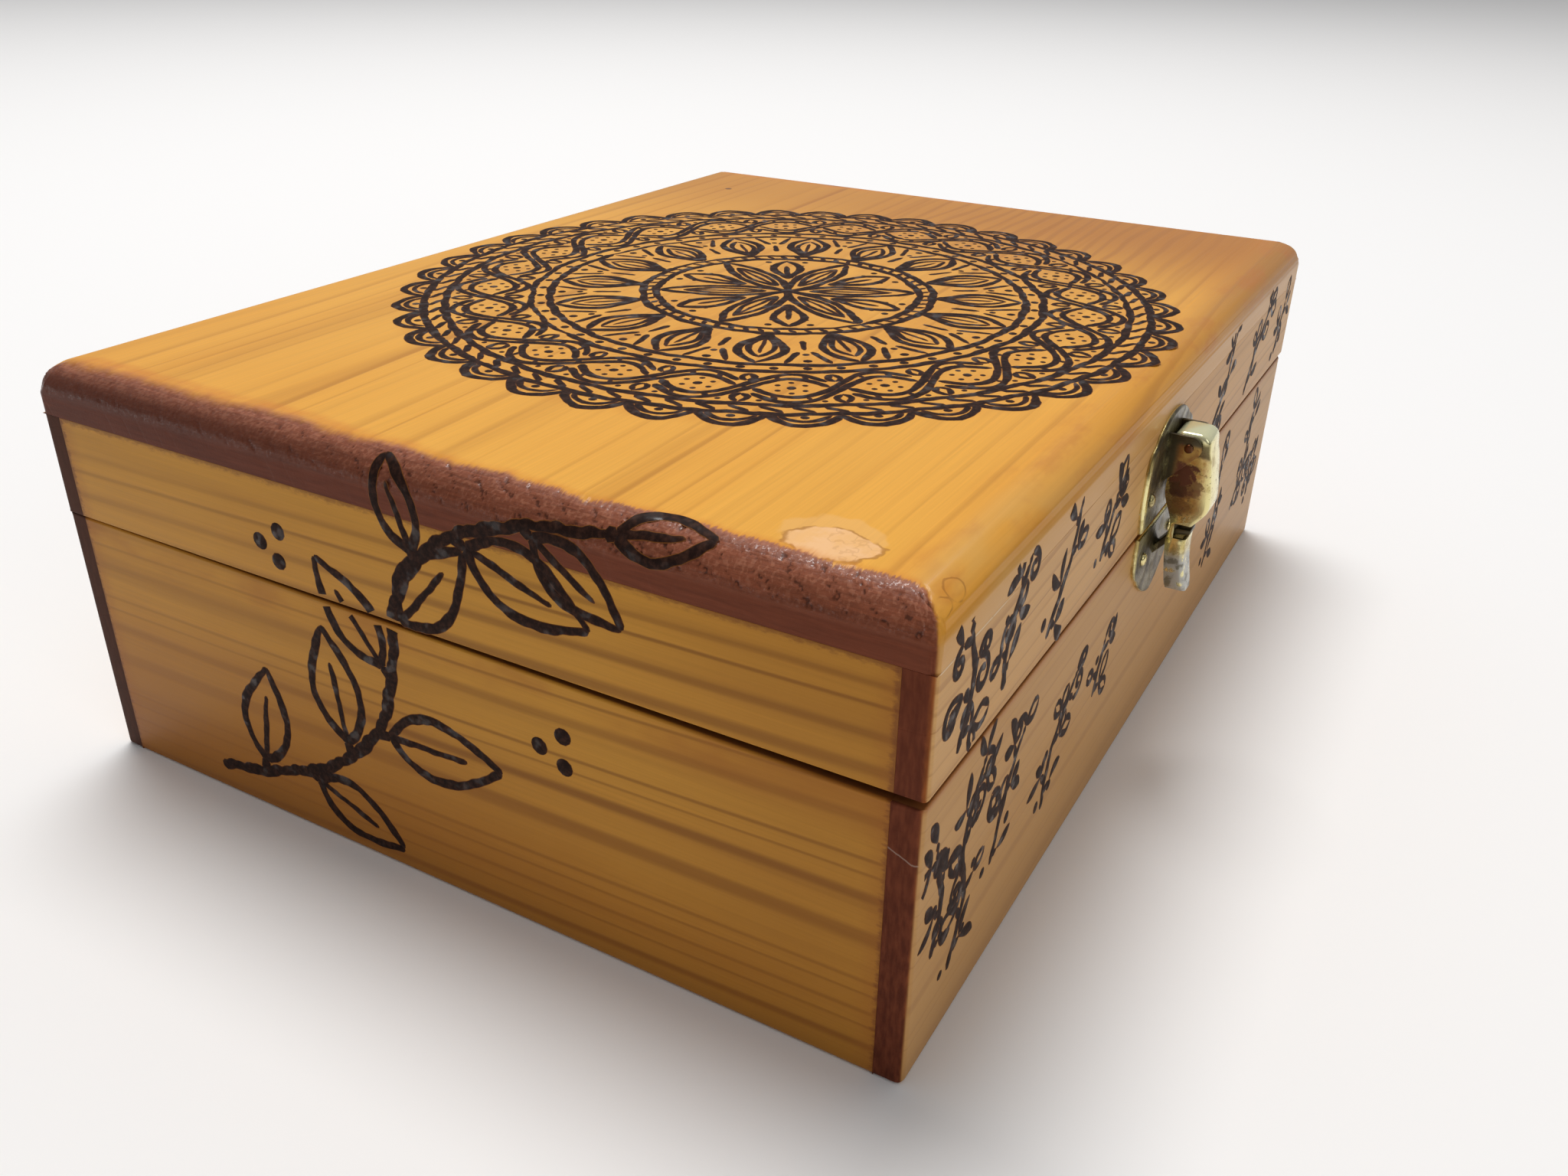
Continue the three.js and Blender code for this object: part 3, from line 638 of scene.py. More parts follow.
LEFT_WOOD = end_wood("varnished_left_end", (-104.0, -190.0))
RIGHT_WOOD = end_wood("varnished_right_end", (112.0, 240.0))
FRONT_WOOD = front_wood("varnished_front", (-96.0, 250.0))
BACK_WOOD = front_wood("varnished_back", (130.0, 190.0))
PANEL_WOOD = panel_wood()
print("wall finishes:", LEFT_WOOD.name, RIGHT_WOOD.name, FRONT_WOOD.name, BACK_WOOD.name, PANEL_WOOD.name)

# %% [markdown]
# A board starts as a cube stretched to the size of its place in the frame. A Bevel modifier then
# softens each edge by its own weight: the four upper edges of the top board by 6 mm, the outer
# arrises by about 1 mm, and the joints by a hair, which is what makes a glued joint visible.
# The top and the left side are kept a touch inside, to leave room for the raised burnt lines.
# The seam is a hair at the back and a dark gap at the front, so the base's rim falls forwards.

# %% Board maker
LINE_HEIGHT = 0.15
ARRIS = 0.9
RIM_ARRIS = {"base": 0.45, "lid": 0.4}
RIM_RISE, RIM_FALL, RIM_REACH = 0.64, 1.39, 3.0
JOINT_ARRIS = 0.07
CORNER_ARRIS = 1.6
BEVEL_SEGMENTS = 7
TOP_SEGMENTS = 26


def sides_of(point, low, high):
    """The sides of a box that a point on it lies on, such as {'-y', '+z'}."""
    found = set()
    for i, axis in enumerate("xyz"):
        if abs(point[i] - low[i]) < 0.001 * MM:
            found.add("-" + axis)
        if abs(point[i] - high[i]) < 0.001 * MM:
            found.add("+" + axis)
    return found


def edge_radius(sides, outer, half):
    """How much the edge between two sides is softened, in millimetres."""
    if not sides <= outer:
        return JOINT_ARRIS
    if half == "top" and "+z" in sides:
        return TOP_ROUND
    if half == "base" and "+z" in sides or half == "lid" and "-z" in sides:
        return RIM_ARRIS[half]
    if not sides & {"-z", "+z"}:
        return CORNER_ARRIS
    return ARRIS


def apply_place():
    """Takes the active piece's place, turn and size into its mesh."""
    bpy.ops.object.transform_apply(location=True, rotation=True, scale=True)


def add_modifier(piece, kind, **settings):
    pick(piece)
    modifier = piece.modifiers.new(kind.lower(), kind)
    for name, value in settings.items():
        setattr(modifier, name, value)
    bpy.ops.object.modifier_apply(modifier=modifier.name)


def make_board(node, outer, half, material):
    """One board in its place of the frame. Outer holds the sides of it that are seen outside."""
    low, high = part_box(node)
    low.x = max(low.x, CAD_BOX[0].x + LINE_HEIGHT * MM)
    high.z = min(high.z, CAD_BOX[1].z - LINE_HEIGHT * MM)
    deselect_all()
    bpy.ops.mesh.primitive_cube_add(size=1, location=(low + high) / 2, scale=high - low)
    board = bpy.context.object
    board.name = node.replace("board", "plank").replace("panel", "sheet")
    apply_place()
    weights = board.data.attributes.new("bevel_weight_edge", "FLOAT", "EDGE")
    for edge in board.data.edges:
        ends = [board.data.vertices[i].co for i in edge.vertices]
        radius = edge_radius(sides_of((ends[0] + ends[1]) / 2, low, high), outer, half)
        weights.data[edge.index].value = radius / TOP_ROUND
    add_modifier(
        board, "BEVEL", limit_method="WEIGHT", width=TOP_ROUND * MM, use_clamp_overlap=False,
        segments=TOP_SEGMENTS if half == "top" else BEVEL_SEGMENTS)
    if half == "base":
        for corner in board.data.vertices:
            if corner.co.z > (SEAM_LOW - RIM_REACH) * MM:
                forwards = 0.5 - corner.co.y / (2 * HALF_DEPTH * MM)
                corner.co.z += (RIM_RISE - RIM_FALL * forwards) * MM
    put_on(board, material)
    return board


def settle(piece, node, body):
    """Shades a piece smooth, hides the frame's part that it stands for, and moves it with its body."""
    pick(piece)
    bpy.ops.object.shade_smooth_by_angle(angle=math.radians(40))
    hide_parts(node)
    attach(piece, body)


WALLS = {
    "front_board": ({"-y", "-x", "+x"}, FRONT_WOOD, "front_wood"),
    "back_board": ({"+y", "-x", "+x"}, BACK_WOOD, "front_wood"),
    "left_end_board": ({"-x"}, LEFT_WOOD, "end_wood"),
    "right_end_board": ({"+x"}, RIGHT_WOOD, "end_wood"),
}
RIMS = {"base": {"-z", "+z"}, "lid": {"-z"}}
boards = {}
for half, rims in RIMS.items():
    for part, (outer, material, slot) in WALLS.items():
        node = f"{half}_{part}"
        boards[node] = make_board(node, outer | rims, half, material)
        settle(boards[node], node, half)
panel = make_board("base_bottom_panel", set(), "base", PANEL_WOOD)
settle(panel, "base_bottom_panel", "base")
print("boards:", {name: len(board.data.polygons) for name, board in boards.items()})

# %% [markdown]
# The torn end grain is real relief, a quarter of a millimetre deep. The long edges of the top board
# are divided about every third of a millimetre, which cuts its rounded ends into small squares,
# and each corner of a square sinks by its own amount. The amount comes from noise: fine crumbs
# all over, and deeper gashes in slanting rows 4 to 5 mm apart, as a coarse rasp leaves them.
# Real relief is worth its squares here, because a gloss glints on real slopes only.

# %% Torn top board
DIVISIONS = (100, 4)
TEAR_DEPTH = 0.24
ROW_SPACING = 4.6


def soft_step(value, low, high):
    share = min(1.0, max(0.0, (value - low) / (high - low)))
    return share * share * (3 - 2 * share)


def tear(y, arc):
    """How deep the end grain is torn at a place along the edge and round it, from 0 to 1."""
    slant, down = y * 0.85 - arc * 0.9, y * 0.9 + arc * 0.85
    drift = noise.noise(Vector((y * 0.05, arc * 0.1, 4.0))) * 2.5
    row = 0.5 + 0.5 * math.sin(2 * math.pi * slant / ROW_SPACING + drift)
    gash = noise.fractal(Vector((slant * 1.5, down * 0.6, 7.0)), 0.7, 2.1, 3)
    crumb = noise.fractal(Vector((y * 1.7, arc * 1.7, 2.0)), 0.8, 2.0, 2)
    calm = 1.0 - 0.55 * soft_step(y, -10.0, 60.0)
    depth = soft_step(gash, 0.02, 0.42) * row * row + 0.42 * soft_step(crumb, -0.35, 0.55)
    return min(1.0, depth * calm)


def select_by(piece, kind, test):
    """Selects the faces or edges of the piece in edit mode that pass a test."""
    mesh = bmesh.from_edit_mesh(piece.data)
    bpy.ops.mesh.select_mode(type=kind)
    bpy.ops.mesh.select_all(action="DESELECT")
    for part in (mesh.faces if kind == "FACE" else mesh.edges):
        part.select = test(part)
    mesh.select_flush_mode()
    bmesh.update_edit_mesh(piece.data)


def runs_along_y(edge):
    step = edge.verts[0].co - edge.verts[1].co
    return abs(step.y) > MM and abs(step.x) + abs(step.z) < 0.01 * MM


def divide_across(board):
    """Divides the board's edges along Y, which cuts its rounded ends into small squares."""
    pick(board)
    bpy.ops.object.mode_set(mode="EDIT")
    for cuts in DIVISIONS:
        select_by(board, "EDGE", runs_along_y)
        bpy.ops.mesh.subdivide(number_cuts=cuts)
    bpy.ops.object.mode_set(mode="OBJECT")


def tear_ends(board):
    """Sinks the corners on the rounded ends, and keeps each one's depth for the finish to read."""
    normals = [corner.normal.copy() for corner in board.data.vertices]
    marks = board.data.attributes.new(TORN, "FLOAT", "POINT")
    for corner, normal, mark in zip(board.data.vertices, normals, marks.data):
        rise = corner.co.z / MM - (TOP_SURFACE - LINE_HEIGHT - TOP_ROUND)
        outward = abs(corner.co.x) / MM - (HALF_LENGTH - LINE_HEIGHT - TOP_ROUND)
        if rise > 0 and outward > 0:
            arc = TOP_ROUND * math.atan2(rise, outward)
            share = soft_step(abs(normal.x), 0.08, 0.35) * soft_step(rise, 0.1, 0.9)
            mark.value = tear(corner.co.y / MM, arc) * share
            corner.co -= normal * mark.value * TEAR_DEPTH * MM


top_board = make_board("lid_top_board", {"-x", "+x", "-y", "+y", "+z"}, "top", TOP_WOOD)
divide_across(top_board)
tear_ends(top_board)
settle(top_board, "lid_top_board", "lid")
print("top board faces:", len(top_board.data.polygons))

# %% [markdown]
# The ornament is burnt in with a hot wire tip, and then varnished over. Such a line is never
# even: the hand wavers a little, the tip rests at the start and leaves a blob, and each stroke
# thins out towards its end. So every stroke is a list of points with its own width at each
# one, made from a clean curve by adding slow waves from a seeded source.

# %% Drawing by hand
HAND = random.Random(7)
STEP = 1.1
WAVES = ((17.0, 1.0), (6.5, 0.6), (2.9, 0.35))
MAIN_LINE = 1.9
FINE_LINE = 1.35
SMALL_DOT = (-0.98, -0.7, 0.0, 0.7, 0.98)
LARGE_DOT = (-0.99, -0.88, -0.6, 0.0, 0.6, 0.88, 0.99)


def shares(count):
    """Even shares from 0 to 1, such as 0, 0.5 and 1 for a count of 2."""
    return [k / count for k in range(count + 1)]


def wavering(amount):
    """A slow random wave along a line, made of three sines."""
    parts = [(2 * math.pi / length, share, HAND.uniform(0, 2 * math.pi)) for length, share in WAVES]
    return lambda place: amount * sum(share * math.sin(place * rate + phase) for rate, share, phase in parts)


def even_steps(points, step=STEP):
    """The same line, with its points set at even distances."""
    lengths = [0.0]
    for first, second in zip(points, points[1:]):
        lengths.append(lengths[-1] + math.dist(first, second))
    count = max(2, round(lengths[-1] / step))
    spread, i = [], 0
    for k in range(count + 1):
        goal = lengths[-1] * k / count
        while i < len(points) - 2 and lengths[i + 1] < goal:
            i += 1
        part = (goal - lengths[i]) / max(lengths[i + 1] - lengths[i], 1e-9)
        spread.append(tuple(a + (b - a) * part for a, b in zip(points[i], points[i + 1])))
    return spread


def smooth_line(points):
    """A smooth line through a few chosen points."""
    ends = [points[0], *points, points[-1]]
    line = []
    for four in zip(ends, ends[1:], ends[2:], ends[3:]):
        for t in shares(12)[:-1]:
            line.append(tuple(
                0.5 * (2 * b + (c - a) * t + (2 * a - 5 * b + 4 * c - d) * t * t
                       + (3 * b - a - 3 * c + d) * t ** 3)
                for a, b, c, d in zip(*four)))
    return line + [points[-1]]


def stroke(points, width=MAIN_LINE, shake=0.16, taper=0.3, step=STEP):
    """One burnt stroke: places and widths, in millimetres. Its first and last point make round ends."""
    line = even_steps(points, step)
    across, along, thick = wavering(shake), wavering(shake), wavering(0.10)
    drawn = []
    for k, (u, v) in enumerate(line):
        place = k * step
        share = k / (len(line) - 1)
        blob = 0.18 * math.exp(-place / 1.2)
        thin = taper * max(0.0, (share - 0.7) / 0.3) ** 2
        end = 0.45 if k in (0, len(line) - 1) else 1.0
        drawn.append((u + across(place), v + along(place), width * end * (1 + thick(place) + blob - thin)))
    return drawn


def dot(place, width):
    """A round dot, as a stroke too short to see as one."""
    turn = HAND.uniform(0, math.pi)
    shifts = SMALL_DOT if width < 2.2 else LARGE_DOT
    return [(place[0] + math.cos(turn) * width * 0.5 * shift, place[1] + math.sin(turn) * width * 0.5 * shift,
             width * math.sqrt(1.02 - shift * shift)) for shift in shifts]


def leaf(base, tip, half_width, width=MAIN_LINE, rib=0.75, belly=0.8, step=STEP):
    """Two bent sides that meet at the tip, and a rib between them."""
    start = Vector(base)
    run = Vector(tip) - start
    normal = Vector((-run.y, run.x)).normalized() * half_width
    strokes = []
    for side in (-1, 1):
        line = [start + run * t + normal * side * math.sin(math.pi * t ** belly) for t in shares(12)]
        strokes.append(stroke(line, width, shake=0.1, step=step))
    if rib:
        strokes.append(stroke([base, start + run * rib], width * 0.75, shake=0.1, step=step))
    return strokes


print("strokes are measured in mm, a main line is", MAIN_LINE, "wide")

# %% [markdown]
# A stroke becomes solid as a curve with a round section. The curve is made a mesh, pressed
# nearly flat, and laid on its face of the box. On the left end it also has to climb over the
# rounded edge of the top board, so there its height above the start of the rounding is turned
# into an angle round it. A line can't cross the seam in one piece, because the lid opens, so
# it is parted there.

# %% Laying strokes on the faces
FLATNESS = 0.075
SECTION_SIDES = 2
RIDGE = "ridge"
SOOT = (0.018, 0.008, 0.006)
SEAM_MARGIN = 0.5
FOOT_MARGIN = 0.5
END_MARGIN = 1.5
ROUND_CENTRE = Vector((
    CAD_BOX[0].x / MM + LINE_HEIGHT + TOP_ROUND, 0, TOP_SURFACE - LINE_HEIGHT - TOP_ROUND))


def on_top(u, v, height):
    return Vector((u, v, TOP_SURFACE - LINE_HEIGHT + height))


def on_front(half):
    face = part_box(f"{half}_front_board")[0].y / MM
    return lambda u, v, height: Vector((u, face - height, v))


def on_left_end(half):
    face = max(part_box(f"{half}_front_board")[0].x / MM, CAD_BOX[0].x / MM + LINE_HEIGHT)

    def place(u, v, height):
        if v <= ROUND_CENTRE.z:
            return Vector((face - height, -u, v))
        angle = (v - ROUND_CENTRE.z) / TOP_ROUND
        reach = TOP_ROUND + height
        x = ROUND_CENTRE.x - reach * math.cos(angle)
        return Vector((x, -u, ROUND_CENTRE.z + reach * math.sin(angle)))
    return place


def parted(strokes, low, high):
    """Only the stretches of the strokes that lie on the face, between two heights."""
    kept = []
    for points in strokes:
        run = []
        for point in [*points, (0, math.inf, 0)]:
            if low <= point[1] <= high and abs(point[0]) < HALF_LENGTH - END_MARGIN:
                run.append(point)
            else:
                if len(run) > 1:
                    kept.append(run)
                run = []
    return kept


def burnt_line():
    finish = Finish("burnt_and_varnished")
    char = finish.noise(0.9, detail=3.0, rough=0.6, seed=1.0)
    beads = finish.noise(0.35, detail=2.0, seed=14.0)
    ridge = finish.attribute(RIDGE)
    colour = finish.coats(
        SOOT, (char.step(0.38, 0.75), (0.052, 0.022, 0.014)),
        (ridge.step(0.60, 0.15) * 0.7, (0.110, 0.036, 0.012)),
        (ridge.step(0.30, 0.0) * 0.8, (0.340, 0.125, 0.024)))
    return finish.finish_with(
        {"Coat Roughness": 0.12, "Specular IOR Level": 0.05}, colour, 0.60 - beads * 0.2,
        coat=beads.step(0.54, 0.70) * 0.5, height=char, relief=0.035)


BURNT_LINE = burnt_line()


def burn(name, strokes, place, body):
    """Makes one raised mesh of the strokes. The place function lays each corner on its face."""
    deselect_all()
    bpy.ops.object.add(type="CURVE")
    drawing = bpy.context.object
    drawing.name = name
    for setting, value in {"dimensions": "3D", "twist_mode": "Z_UP", "bevel_depth": MM / 2,
                           "bevel_resolution": SECTION_SIDES, "use_fill_caps": True}.items():
        setattr(drawing.data, setting, value)
    for points in strokes:
        spline = drawing.data.splines.new("POLY")
        spline.points.add(len(points) - 1)
        for knot, (u, v, width) in zip(spline.points, points):
            knot.co = (u * MM, v * MM, 0, 1)
            knot.radius = width
    bpy.ops.object.convert(target="MESH")
    ridge = drawing.data.attributes.new(RIDGE, "FLOAT", "POINT")
    for corner, mark in zip(drawing.data.vertices, ridge.data):
        u, v, height = corner.co / MM
        mark.value = max(0.0, height) * 2 / MAIN_LINE
        corner.co = place(u, v, height * FLATNESS) * MM
    put_on(drawing, BURNT_LINE)
    bpy.ops.object.shade_smooth_by_angle(angle=math.radians(60))
    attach(drawing, body)
    print(name, "strokes:", len(strokes), "faces:", len(drawing.data.polygons))


def burn_halves(name, strokes, face, top):
    """A drawing that runs over the seam, burnt as one piece on each half, up to a top line."""
    for half, low, high in (
            ("base", FOOT_MARGIN, SEAM_LOW - SEAM_MARGIN), ("lid", SEAM_HIGH + SEAM_MARGIN, top)):
        burn(f"{name}_{half}", parted(strokes, low, high), face(half), half)


print("the burnt line is", BURNT_LINE.name)

# %% [markdown]
# The top carries one large round ornament, built up in rings as such borders are: scallops, a
# twisted rope, a plait of two strands that pass over and under each other, a row of beads, a
# ring of petals, and in the middle the six-petal flower that a pair of compasses draws. Each
# ring is one motif repeated round the middle, so a few short loops make the whole.

# %% Round ornament
SCALLOPS = 40
SCALLOP_RADIUS, SCALLOP_RISE = 80, 5.4
INNER_RADIUS, INNER_RISE = 80.2, 3.1
ROPE_TURNS = 84
ROPE_OUTER, ROPE_INNER = 79.6, 75.2
ROPE_BEND = ((75.7, 0), (76.5, 0.5), (78.2, 2.6), (79.1, 3.1))
PLAIT_WAVES = 12
PLAIT_RADIUS, PLAIT_SWING, PLAIT_HALF, PLAIT_HIDDEN = 66.0, 6.4, 1.35, 1.45
PLAIT_STEPS = 480
CROSSING_STEP = 180 / PLAIT_WAVES
BEADS = 54
BEAD_OUTER, BEAD_INNER = 56.9, 52.9
PETALS = 16
PETAL_BACK = ((44.8, 1.6), (48.2, 3.4), (52.0, 5.0))
HUB_TICKS = 60
HUB_OUTER, HUB_INNER = 32.6, 29.4
COMPASS_RADIUS = 28.6


def around(middle, radius, degrees):
    angle = math.radians(degrees)
    return (middle[0] + radius * math.cos(angle), middle[1] + radius * math.sin(angle))


def polar(radius, degrees):
    return around(ROSETTE_MIDDLE, radius, degrees)


def ring(radius, width=MAIN_LINE):
    start = HAND.uniform(0, 360)
    return stroke([polar(radius, start + k * 3) for k in range(122)], width, shake=0.2, taper=0.4)


def scallop_edge():
    strokes = []
    for k in range(SCALLOPS):
        start, span = 360 * k / SCALLOPS, 360 / SCALLOPS
        outer = [polar(SCALLOP_RADIUS + SCALLOP_RISE * math.sin(math.pi * t) ** 0.75, start + span * t)
                 for t in shares(10)]
        inner = [polar(INNER_RADIUS + INNER_RISE * math.sin(math.pi * t) ** 0.75,
                       start + span * (0.14 + 0.72 * t)) for t in shares(8)]
        strokes += [stroke(outer), stroke(inner, FINE_LINE, shake=0.08)]
        strokes.append(dot(polar(81.2, start + span * 0.5), 1.7))
    return strokes


def rope_border():
    strokes = [ring(ROPE_OUTER), ring(ROPE_INNER)]
    for k in range(ROPE_TURNS):
        start = 360 * k / ROPE_TURNS
        bend = [polar(radius, start + turn) for radius, turn in ROPE_BEND]
        strokes.append(stroke(smooth_line(bend), FINE_LINE, shake=0.06))
    return strokes


def plait_place(strand, angle):
    """The radius of a strand's middle, and whether it passes under the other strand there."""
    wave = math.cos(math.radians(PLAIT_WAVES * angle)) * (1 if strand else -1)
    crossing = round((angle - CROSSING_STEP / 2) / CROSSING_STEP)
    near = abs(angle - CROSSING_STEP / 2 - crossing * CROSSING_STEP) < PLAIT_HIDDEN
    return PLAIT_RADIUS + PLAIT_SWING * wave, crossing % 2 == strand and near


def plait():
    """Two double strands, each broken where it passes under the other."""
    strokes = []
    for strand in (0, 1):
        for side in (-PLAIT_HALF, PLAIT_HALF):
            run = []
            for k in range(PLAIT_STEPS + 1):
                angle = k * 360 / PLAIT_STEPS
                middle, under = plait_place(strand, angle)
                if not under:
                    run.append(polar(middle + side, angle))
                if (under or k == PLAIT_STEPS) and len(run) > 3:
                    strokes.append(stroke(run, MAIN_LINE * 0.9, shake=0.1, taper=0.1))
                if under:
                    run = []
        for k in range(6 * PLAIT_WAVES):
            angle = (k + 0.5) * 60 / PLAIT_WAVES
            middle, under = plait_place(strand, angle)
            if not under:
                rung = [polar(middle - 1.1, angle - 0.35), polar(middle + 1.1, angle + 0.35)]
                strokes.append(stroke(rung, FINE_LINE * 0.85, shake=0.04))
    return strokes


def plait_fillings():
    strokes = []
    for k in range(2 * PLAIT_WAVES):
        eye, gap = k * CROSSING_STEP, (k + 0.5) * CROSSING_STEP
        middle = polar(PLAIT_RADIUS, eye)
        strokes.append(dot(middle, 1.9))
        strokes += [dot(around(middle, 2.9, eye + 60 * i), 1.2) for i in range(6)]
        strokes += leaf(polar(69.6, gap), polar(74.2, gap), 1.4, FINE_LINE, rib=0)
        strokes += leaf(polar(62.6, gap), polar(58.4, gap), 1.2, FINE_LINE, rib=0)
        strokes += [dot(polar(73.0, gap + side), 1.2) for side in (-2.9, 2.9)]
    return strokes


def bead_row():
    strokes = [ring(BEAD_OUTER), ring(BEAD_INNER)]
    middle = (BEAD_OUTER + BEAD_INNER) / 2
    return strokes + [dot(polar(middle, 360 * k / BEADS), 1.9) for k in range(BEADS)]


def petal_ring():
    strokes = []
    for k in range(PETALS):
        turn = 360 * k / PETALS
        between = turn + 180 / PETALS
        strokes += leaf(polar(33.2, turn), polar(52.0, turn), 4.7, MAIN_LINE, rib=0, belly=1.15)
        strokes += leaf(polar(35.0, turn), polar(48.6, turn), 2.7, FINE_LINE, rib=0.8, belly=1.15)
        for side in (-1, 1):
            back = [polar(radius, between + side * lean) for radius, lean in PETAL_BACK]
            strokes.append(stroke(smooth_line(back), FINE_LINE, shake=0.06))
        strokes.append(stroke([polar(37.4, between), polar(43.6, between)], FINE_LINE, shake=0.06))
        strokes += [dot(polar(46.4, between), 1.5), dot(polar(50.4, between), 1.9)]
    return strokes


def compass_flower():
    strokes = [ring(HUB_OUTER), ring(HUB_INNER)]
    for k in range(HUB_TICKS):
        turn = 360 * k / HUB_TICKS
        tick = [polar(HUB_INNER + 0.6, turn), polar(HUB_OUTER - 0.5, turn + 2.5)]
        strokes.append(stroke(tick, FINE_LINE, shake=0.04))
    for turn in range(0, 360, 60):
        heart = polar(COMPASS_RADIUS, turn)
        strokes.append(stroke([around(heart, COMPASS_RADIUS, turn + 120 + 4 * i) for i in range(31)]))
        strokes += leaf(polar(5.0, turn), polar(23.5, turn), 2.1, FINE_LINE, rib=0.95, belly=1.0)
        strokes += leaf(polar(11.0, turn + 30), polar(27.6, turn + 30), 3.2, MAIN_LINE, rib=0.7, belly=1.3)
        for side in (-9.5, 9.5):
            strokes.append(dot(polar(26.6, turn + 30 + side), 1.7))
            strokes.append(dot(polar(23.0, turn + 30 + side * 0.95), 1.2))
    return strokes + [dot(ROSETTE_MIDDLE, 3.2)]


rosette = []
for motif in (scallop_edge, rope_border, plait, plait_fillings, bead_row, petal_ring, compass_flower):
    rosette += motif()
burn("top_rosette", rosette, on_top, "lid")

# %% [markdown]
# The left end carries one bold branch in thick strokes, drawn from the lower left corner up
# over the seam and onto the rounded edge. A branch is one stem with leaves set on it by turns,
# so it needs only the stem's points and the places of its leaves.

# %% Branch on the left end
FINE_STEP = 0.6
STALK_SHARE = 0.12
BRANCH_LINE, BRANCH_LEAF, BERRY = 2.2, 0.22, 3.4
END_TOP = 90


def along(points, share):
    """The place and direction at a share of a line's length."""
    line = even_steps(points, 0.5)
    k = min(int(share * (len(line) - 1)), len(line) - 2)
    here, there = Vector(line[k]), Vector(line[k + 1])
    return here, (there - here).normalized()


def leafy_branch(stem, leaves, width, leaf_shape):
    """A stem with leaves. A leaf is its share of the stem, its side, its length and its angle."""
    strokes = [stroke(stem, width * 1.15, shake=0.25, taper=0.4, step=FINE_STEP)]
    for share, side, length, angle in leaves:
        here, direction = along(stem, share)
        turn = Matrix.Rotation(math.radians(angle) * side, 2)
        stalk = here + turn @ direction * length * STALK_SHARE
        tip = here + turn @ direction * length
        strokes.append(stroke([here, stalk], width, shake=0.0, step=FINE_STEP))
        strokes += leaf(stalk, tip, length * leaf_shape, width * 0.9, rib=0.7, step=FINE_STEP)
    return strokes


END_STEM = ((-60, 6), (-44, 10), (-26, 18), (-12, 32), (-7, 48), (-4, 60), (6, 72), (22, 79), (40, 82))
END_LEAVES = (
    (0.10, 1, 26, 60), (0.20, -1, 25, 45), (0.31, 1, 27, 55), (0.39, -1, 29, 50), (0.49, 1, 25, 48),
    (0.57, -1, 26, 34), (0.69, 1, 19, 62), (0.77, -1, 28, 48), (0.88, -1, 22, 48), (0.995, 1, 18, 2))
BERRIES = ((24, 40), (29, 43.5), (29, 37.5), (-36, 62), (-31, 65), (-32, 59))
end_branch = leafy_branch(smooth_line(END_STEM), END_LEAVES, BRANCH_LINE, BRANCH_LEAF)
end_branch += [dot(place, BERRY) for place in BERRIES]
burn_halves("end_branch", end_branch, on_left_end, END_TOP)

# %% [markdown]
# The front has small sprigs in dense tufts on both sides of the catch. A tuft is a short bent
# stem with curled tendrils, open leaves and filled leaves on it, none of them quite alike. A
# filled leaf is one stroke that swells in its middle.

# %% Sprigs on the front
SPRIG_LINE = 1.7
CURL_STEPS = 21
LEAF_LENGTHS = (4.4, 7.2)
SHOOT_SPACING = 5.5
SHOOT_ANGLES = ((-45, 35), (-65, 0, 60), (-20, 55), (10,))
SPRIGS = (
    ((-112, 20), (-110, 30), (-113, 42)),
    ((-104, 12), (-100, 24), (-102, 36), (-96, 47)),
    ((-110, 57), (-106, 66), (-108, 76)),
    ((-93, 58), (-92, 68), (-86, 77)),
    ((-88, 22), (-84, 34), (-78, 42)),
    ((-74, 58), (-66, 66), (-62, 77)),
    ((-62, 16), (-60, 28), (-50, 38)),
    ((-46, 60), (-40, 70)),
    ((-36, 26), (-32, 36)),
    ((26, 22), (30, 34), (38, 42)),
    ((36, 58), (44, 66), (48, 77)),
    ((58, 14), (62, 28), (60, 42)),
    ((70, 57), (76, 66), (86, 74)),
    ((84, 20), (92, 30), (94, 44)),
    ((106, 16), (104, 28)),
    ((104, 58), (108, 70)),
)


def filled_leaf(base, tip, width):
    run = tip - base
    bend = Vector((-run.y, run.x)) * HAND.uniform(-0.15, 0.15)
    points = []
    for t in shares(7):
        spot = base + run * t + bend * math.sin(math.pi * t)
        points.append((spot.x, spot.y, 0.5 + (width - 0.5) * math.sin(math.pi * t ** 1.2) ** 0.8))
    return points


def tendril(here, direction, size):
    """A line that curls in on itself."""
    side = HAND.choice((-1, 1))
    points = [here]
    for k in range(CURL_STEPS):
        direction = Matrix.Rotation(side * math.radians(6 + 1.35 * k), 2) @ direction
        points.append(points[-1] + direction * size * 0.11)
    return stroke(points, SPRIG_LINE * 0.9, shake=0.05, taper=0.0, step=0.7)


def shoot(here, direction, reach):
    """A short twig that ends in one to three leaves or tendrils."""
    end = here + direction * reach
    strokes = [stroke([here, end], SPRIG_LINE, shake=0.1)]
    for angle in HAND.choice(SHOOT_ANGLES):
        turn = Matrix.Rotation(math.radians(angle + HAND.uniform(-10, 10)), 2) @ direction
        length = HAND.uniform(*LEAF_LENGTHS)
        kind = HAND.random()
        if kind < 0.45:
            strokes.append(filled_leaf(end, end + turn * length, HAND.uniform(2.2, 3.0)))
        elif kind < 0.8:
            strokes += leaf(end, end + turn * length, length * 0.26, SPRIG_LINE * 0.85, rib=0, belly=1.25)
        else:
            strokes.append(tendril(end, turn, length))
    return strokes


